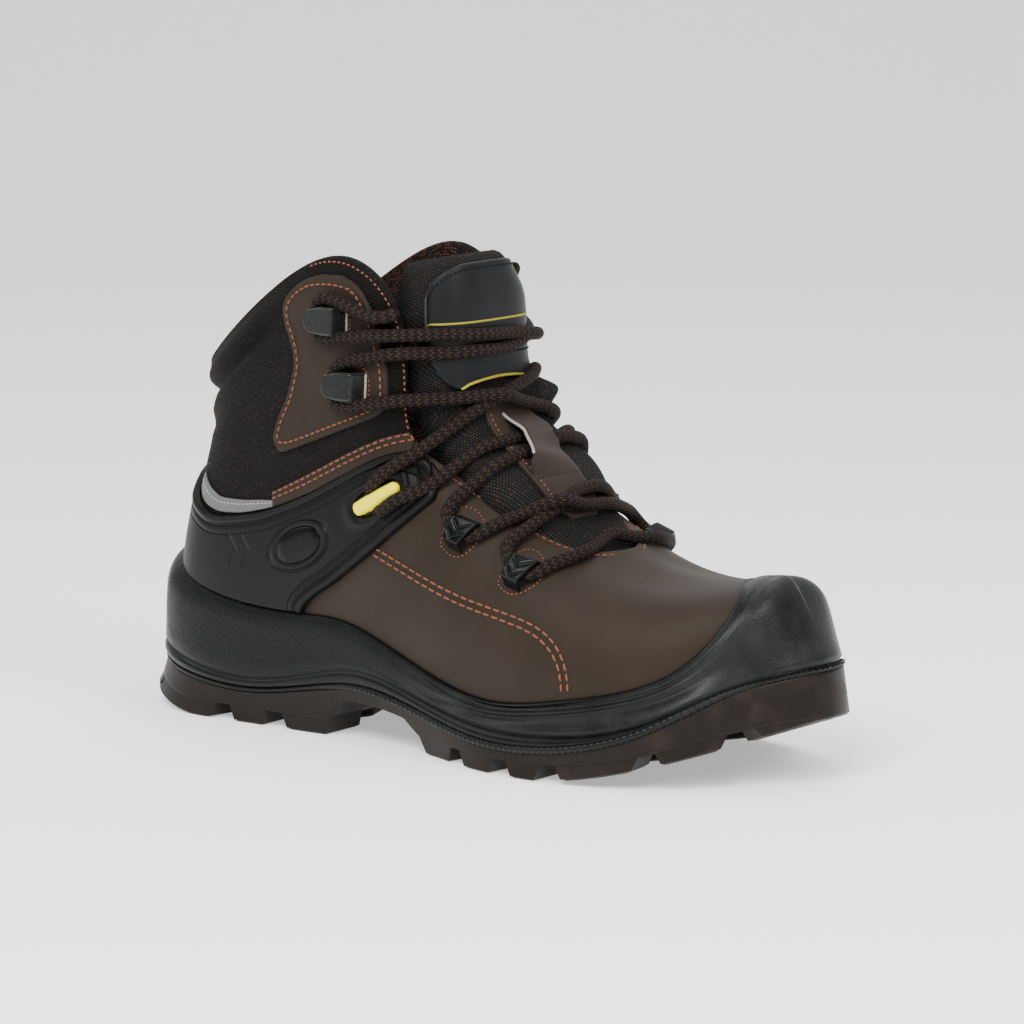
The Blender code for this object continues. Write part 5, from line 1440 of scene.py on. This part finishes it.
def ride_over(under, over, share):
    """Lifts one lace off another where they come closest: a bell curve along the normal of both."""
    gaps = np.linalg.norm(over[8:-8, None] - under[None, 8:-8], axis=-1)
    i, j = np.add(np.unravel_index(np.argmin(gaps), gaps.shape), 8)
    ahead, other = over[i + 1] - over[i - 1], under[j + 1] - under[j - 1]
    normal = np.cross(ahead, other)
    sine = np.linalg.norm(normal) / (np.linalg.norm(ahead) * np.linalg.norm(other))
    normal *= np.sign(normal @ (over[i] - LACE_CORE)) / np.linalg.norm(normal)
    lift = max(share * LACE_DIAMETER - (over[i] - under[j]) @ normal, 0.0)
    walked = arc_lengths(over[None], 1)[0]
    reach = np.clip(0.8 * LACE_DIAMETER / sine, 6.0, 10.0)
    return over + normal * (lift * bell(walked - walked[i], reach))[:, None]


def braid(name, paths):
    """A length of lace, or two that cross, with the braided finish."""
    return tube_piece(name, paths, LACE_DIAMETER / 2, lace_finish, 16)


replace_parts(braid("lace_bar_braid", [lace_run(0, 1, 0, 1, BAR_MIDDLE, LACE_SEATS[0])]), "lace_bar")
for i, (lower_height, upper_height) in enumerate(LACE_MIDDLE):
    under = lace_run(i, 0, i + 1, 1, lower_height, LACE_SEATS[i])
    over = ride_over(under, lace_run(i + 1, 1, i, 0, upper_height, LACE_SEATS[i]), LACE_LIFT[i])
    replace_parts(braid(f"lace_crossing_{i + 1}", [under, over]), f"lace_cross_{i + 1}")

# %% [markdown]
# ### Free ends of the lace
# Both ends come out of the top straps and lie loose over the flap's edge. They are the same braid
# along a curve of their own.

# %% Lace ends
END_TIPS = {"outer": [(134.6, 33.0, 165.5)],
            "inner": [(131.0, -37.5, 172.0), (136.0, -33.5, 175.5), (138.5, -31.0, 178.5)]}
for side, side_name in SIDES:
    top_strap = len(LACE_ROUTES) - 1
    hidden, end_way, _ = LACE_ROUTES[top_strap]
    visible = end_way if side > 0 else end_way[:4] + [(124.5, 168.5)]
    points = on_upper(side, top_strap, [hidden], 0.3) + on_upper(side, top_strap, visible)
    path = lace_path(points + [np.array(tip) for tip in END_TIPS[side_name]])
    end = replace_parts(braid(f"lace_end_braid_{side_name}", [path]), f"lace_end_{side_name}")

# %% [markdown]
# ## Midsole with toe cap and heel cup
# One black moulding holds the upper like a dish and climbs over the toe. Its side is a smooth
# surface through a few rings of the sole's table: the lip, two rings of the bulging wall, and
# the line where the smooth band begins. Flowing grooves on the forefoot are hollows along that
# wall, and a mask tells the finish where the mould was stippled.

# %% Midsole
RAND_LIP, BUMPER_WALL, WALL_ROWS = 1.6, 3.2, 70
seam_steps = np.array([0.006, 0.013, 0.022])
sole_stations = np.sort(np.concatenate([np.arange(2 * STATIONS * 24) / 24.0, seam_steps,
                                        2 * STATIONS - seam_steps]))
top, bulge = sole_size(sole_stations, "rand_share"), sole_size(sole_stations, "bulge")
groove_out, groove_z = sole_size(sole_stations, "groove_out"), sole_size(sole_stations, "groove_z")
welt_out, welt_z = sole_size(sole_stations, "welt_out"), sole_size(sole_stations, "welt_z")
base_z = sole_size(sole_stations, "base_z")
lip_side = upper_point(sole_stations, top, GAP + RAND_LIP)
wall_rings = [lip_side] + [upper_point(sole_stations, s * top, GAP + bulge * b)
                           for s, b in ((0.97, 0.35), (0.9, 0.7), (0.8, 0.92), (0.62, 1.0))]
wall = curve_through(wall_rings + [ring_at(sole_stations, groove_out, groove_z)], WALL_ROWS)[::-1]
depth_share = np.linspace(0.0, 1.0, WALL_ROWS)[:, None]
place_on = from_toe(sole_stations)[None]
flow = smooth(place_on, 0.7, 1.6) * (1 - smooth(place_on, 3.8, 5.0))
grooves = sum(bell(depth_share - (level + slope * (place_on - 1.1)), 0.075)
              for level, slope in ((0.14, 0.05), (0.32, 0.1), (0.5, 0.14)))
wall_out = np.gradient(wall, axis=1)
wall_up = np.gradient(wall, axis=0)
wall_normal = np.cross(wall_out, wall_up)
wall_normal /= np.linalg.norm(wall_normal, axis=-1, keepdims=True)
off_middle = np.minimum(sole_stations, 2 * STATIONS - sole_stations)
toe_seam = bell(off_middle, 0.012)[None] * smooth(depth_share, 0.05, 0.2)
wall = wall + wall_normal * (0.25 * toe_seam - 1.0 * flow * grooves)[..., None]
lip_turn = np.linspace(0.0, np.pi / 2, 6)[1:, None, None]
lip_inner = upper_point(sole_stations, top, GAP)
lip = lip_inner + (lip_side - lip_inner) * np.cos(lip_turn) + np.array([0.0, 0.0, 0.9]) * np.sin(lip_turn)
inside = np.stack([upper_point(sole_stations, f * top, GAP) for f in np.linspace(1.0, 0.0, 8)])
band_turn = np.linspace(0.0, 1.0, 14)[:, None]
band_z = groove_z - 1.4 + (welt_z + 3.0 - groove_z) * band_turn
band_swell = 1.5 * np.sin(np.pi * band_turn) ** 0.7
band_out = groove_out - 1.1 + (welt_out - groove_out + 0.9) * band_turn + band_swell
band = np.stack([ring_at(sole_stations, o, z) for o, z in zip(band_out, band_z)])
cup_edge = welt_out - BUMPER_WALL
under = np.stack([ring_at(sole_stations, welt_out - 0.4, welt_z), ring_at(sole_stations, cup_edge, welt_z),
                  ring_at(sole_stations, cup_edge, base_z)])
closing = inside[-1] - np.array([0.0, 0.0, GAP])
sole_grid = np.concatenate([under[::-1], band[::-1], wall, lip, inside[1:], closing[None]])
on_wall = slice(len(under) + len(band), len(under) + len(band) + WALL_ROWS)
stipple = np.zeros(sole_grid.shape[:2])
heel_panel = smooth(place_on, 4.6, 5.8) * (1 - smooth(place_on, 9.35, 9.6)) * smooth(depth_share, 0.0, 0.06)
past_toe = smooth(place_on, 1.0, 2.0)
# The toe cap and forefoot rand are lightened: partly real scuffing, partly painted highlight standing in for
# the toe's bright sheen. The mould line down the toe is a real pale mark.
toe_wear_and_painted_highlight = 0.16 * (1 - past_toe) + 0.1 * past_toe * (1 - smooth(place_on, 4.5, 5.5))
stipple[on_wall] = heel_panel + 0.15 * (1 - heel_panel)
scuff_and_painted_highlight = np.zeros(sole_grid.shape[:2])
scuff_and_painted_highlight[on_wall] = np.maximum(0.8 * toe_seam, toe_wear_and_painted_highlight)
midsole = skin("midsole_shell", sole_grid, sole_rubber, wrap_rows=True, wrap_columns=True,
               masks={"stipple": stipple, "scuff_and_painted_highlight": scuff_and_painted_highlight})
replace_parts(midsole, "midsole")

# %% [markdown]
# ### Knurled welt
# A thin moulded rope marks the joint of midsole and outsole, and fades out before the heel. It is
# a tube round the sole whose radius swings as a sine of the distance walked.

# %% Knurled welt
KNURL_MM, ROPE_RADIUS = 2.6, 1.5
rope_stations = np.arange(2 * STATIONS * 72) / 72.0
rope_z, rope_out = sole_size(rope_stations, "welt_z"), sole_size(rope_stations, "welt_out")
at_toe = 1 - smooth(from_toe(rope_stations), 0.5, 1.5)
rope_out = rope_out - 0.1 - 0.6 * at_toe
rope_line = ring_at(rope_stations, rope_out, rope_z + 0.7)
walked = arc_lengths(rope_line[None], 1)[0]
turn = np.arange(10)[:, None] * 2 * np.pi / 10
forward = 1 - smooth(from_toe(rope_stations), 5.6, 7.0)
swing = np.sin(walked[None] * 2 * np.pi / KNURL_MM + turn)
knurl = 0.5 + 0.5 * forward - 0.3 * at_toe + 0.16 * forward * swing
rope = np.stack([ring_at(rope_stations, rope_out + ROPE_RADIUS * k * np.cos(t),
                         rope_z + 0.7 + ROPE_RADIUS * k * np.sin(t)) for k, t in zip(knurl, turn[:, 0])])
rope_piece = skin("welt_rope", rope, sole_rubber, wrap_rows=True, wrap_columns=True,
                  masks={"stipple": np.zeros(rope.shape[:2]), "scuff_and_painted_highlight": np.full(rope.shape[:2], 0.06)})

# %% [markdown]
# ## Outsole
# The rubber outsole is a shallow cup with an arch under the waist. Its lugs stand round the edge
# with chevron bars down the middle. Cup and lugs are separate grids, each closed; a lug is a
# curved block whose edges are rounded towards the floor.

# %% Outsole cup
LENGTH, TOE_SPRING, HEEL_BEVEL, LUG_DEPTH = 305.0, 25.4, 8.0, 6.4
OUTSOLE_WALL, WAIST_RISE, HEEL_BREAST_X, FOREPART_X = 2.6, 11.0, 104.0, 149.0


def tread_height(x):
    """Height of the tread: flat, then powers of the distance past the ball and towards the heel back."""
    toe = TOE_SPRING * np.clip((x / LENGTH - 0.69) / 0.30, 0.0, None) ** 1.55
    return toe + HEEL_BEVEL * np.clip(1.0 - (x + 3.0) / 36.0, 0.0, None) ** 1.4


def base_height(x):
    """Height of the joint between midsole and outsole."""
    station = np.linspace(STATIONS, 0.0, 67)
    along = outline(station, sole_size(station, "welt_out") - BUMPER_WALL)[:, 0]
    return np.interp(x, np.maximum.accumulate(along), sole_size(station, "base_z"))


def root_height(x):
    """Height of the face that the lugs stand on, which arches over the waist."""
    arch = smooth(x, HEEL_BREAST_X - 4, HEEL_BREAST_X + 8) - smooth(x, FOREPART_X - 13, FOREPART_X + 5)
    return np.minimum(tread_height(x) + LUG_DEPTH + WAIST_RISE * arch, base_height(x) - OUTSOLE_WALL)


def rim_out(station, height):
    """How far the outsole's side stands out at a height between welt and tread."""
    tread, welt = sole_size(station, "tread_out"), sole_size(station, "welt_out")
    low = tread_height(outline(station, tread)[..., 0])
    share = np.clip((height - low) / (sole_size(station, "welt_z") - low), 0.0, 1.0)
    return tread + (welt - tread) * share


root = root_height(outline(sole_stations, sole_size(sole_stations, "tread_out"))[:, 0])
side_z = welt_z - GAP + (root - welt_z + GAP) * np.linspace(0.0, 1.0, 16)[:, None]
side_rows = np.stack([ring_at(sole_stations, rim_out(sole_stations, z), z) for z in side_z])
cup = cup_edge + GAP
cup_rows = np.stack([ring_at(sole_stations, cup, base_z - GAP), ring_at(sole_stations, cup, welt_z - GAP)])
inwards = np.linspace(1.0, 0.0, 20)[1:, None, None]
spine = side_rows[-1] * np.array([1.0, 0.0, 1.0])
tread_rows = spine + (side_rows[-1] - spine) * inwards
tread_rows[..., 2] = root_height(tread_rows[..., 0])
roof = cup_rows[0] * np.array([1.0, 0.0, 1.0]) + (cup_rows[0] * np.array([0.0, 1.0, 0.0])) * inwards[::-1]
cup_grid = np.concatenate([tread_rows[::-1], side_rows[::-1], cup_rows[::-1], roof[::-1]])
outsole = skin("outsole_cup", cup_grid, tread_rubber, wrap_columns=True)
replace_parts(outsole, "outsole")

# %% [markdown]
# ### Lugs
# Lugs are cast with leaning walls so that they leave the mould. A grid is laid out flat, its
# outer ring is set into the sole, and the next ring forms the lug's edge.

# %% Lugs
SIDE_LUGS = [    # first and last station, and how far a lug reaches inwards
    (6.6, 7.42, 20.0), (7.62, 8.24, 18.0), (8.42, 9.9, 16.0), (4.48, 5.12, 19.0),
    (3.78, 4.36, 22.0), (3.18, 3.66, 24.0), (2.02, 3.04, 22.0), (1.02, 1.86, 20.0),
]
END_LUGS = [(-0.8, 0.8, 18.0, 0.7), (STATIONS - 1.38, STATIONS + 1.38, 15.0, 2.4)]    # and its rounded edge
CENTRE_BARS = [(38.0, 14.0), (62.0, 15.0), (86.0, 13.0), (168.0, 15.0), (192.0, 19.0), (216.0, 21.0),
               (240.0, 17.0)]
BAR_WIDTH, BAR_SWEEP, LUG_EDGE, LUG_DRAFT, LUG_ROOT = 11.0, 5.0, 0.7, 0.09, 1.2


def lug_block(flat, edge=LUG_EDGE):
    """A block on a grid of (x, n): its outermost ring of points is in the sole, the rest on the tread."""
    rows, columns = flat.shape[:2]
    level = np.minimum(np.minimum(np.arange(rows), np.arange(rows)[::-1])[:, None],
                       np.minimum(np.arange(columns), np.arange(columns)[::-1]))
    floor_z, root_z = tread_height(flat[..., 0]), root_height(flat[..., 0]) + LUG_ROOT
    height = np.where(level == 0, root_z, np.where(level == 1, floor_z + edge, floor_z))
    return np.concatenate([flat, height[..., None]], -1)


def lug_shares(count, edge, draft=0.0):
    """Shares across a block, with two close steps at each end for its leaning wall and its rounded edge."""
    low = draft + edge
    return np.concatenate([[0.0, draft, low], np.linspace(low, 1 - low, count)[1:-1],
                           [1 - low, 1 - draft, 1.0]])


def edge_lug(first, last, reach, edge=LUG_EDGE):
    """A lug at the tread's edge, flush with the sole's side: outer edge to inner edge, by stations."""
    along, inwards = lug_shares(14, 0.06, LUG_DRAFT / (last - first)), lug_shares(8, max(0.05, edge / reach))
    station = first + (last - first) * along
    x = outline(station, sole_size(station, "tread_out"))[:, 0]
    rim = np.repeat(rim_out(station, tread_height(x))[None], len(inwards), axis=0)
    rim[0] = rim_out(station, root_height(x) + LUG_ROOT) - GAP
    rim[:, [0, -1]] = rim[0, [0, -1]]
    flat = outline(np.broadcast_to(station, rim.shape), rim - reach * inwards[:, None])
    return lug_block(flat, edge)


def centre_bar(x, half_length):
    """A chevron bar across the tread: its middle lies ahead of its ends by the sweep."""
    across, along = np.meshgrid((lug_shares(16, 0.05) * 2 - 1) * half_length,
                                (lug_shares(6, 0.08) - 0.5) * BAR_WIDTH)
    return lug_block(np.stack([x + along - BAR_SWEEP * np.abs(across) / half_length, across], -1)[::-1])


blocks = [edge_lug(*row) for row in END_LUGS + SIDE_LUGS]
blocks += [edge_lug(2 * STATIONS - last, 2 * STATIONS - first, reach) for first, last, reach in SIDE_LUGS]
blocks += [centre_bar(*row) for row in CENTRE_BARS]
lug_points, lug_faces, first = [], [], 0
for block in blocks:
    rows, columns = block.shape[:2]
    lug_points.append(place(block).reshape(-1, 3))
    lug_faces.append(grid_quads(rows, columns, False, False, first))
    first += rows * columns
lugs = new_piece("outsole_lugs", np.concatenate(lug_points), np.concatenate(lug_faces), tread_rubber,
                 merge=True)
lugs.data.set_sharp_from_angle(angle=np.radians(35.0))

# %% [markdown]
# ## Insole
# A flat padded footbed lies inside on the midsole. It is a thin disc with the outline of the
# foot: rings that shrink towards the middle line, with a rounded edge.

# %% Insole
INSOLE_WALL, INSOLE_CLEAR = 4.0, 0.8
edge_ring = upper_point(sole_stations, 0.0 * top, -LEATHER_WALL - INSOLE_CLEAR)
edge_ring[:, 2] = rib(sole_stations, 0.0 * top)[:, 2]
middle_line = edge_ring * np.array([1.0, 0.0, 1.0])
shrink = np.linspace(1.0, 0.0, 24)[1:, None, None]
top_rise = np.array([0.0, 0.0, INSOLE_WALL])
above = middle_line + (edge_ring - middle_line) * shrink + top_rise
below = middle_line + (edge_ring - middle_line) * shrink[::-1]
insole_grid = np.concatenate([below, edge_ring[None], edge_ring[None] + top_rise * 0.8, above])
flat_uv = insole_grid[..., :2]
insole = skin("insole_footbed", insole_grid, insole_cloth, wrap_columns=True, uv=flat_uv)
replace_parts(insole, "insole")
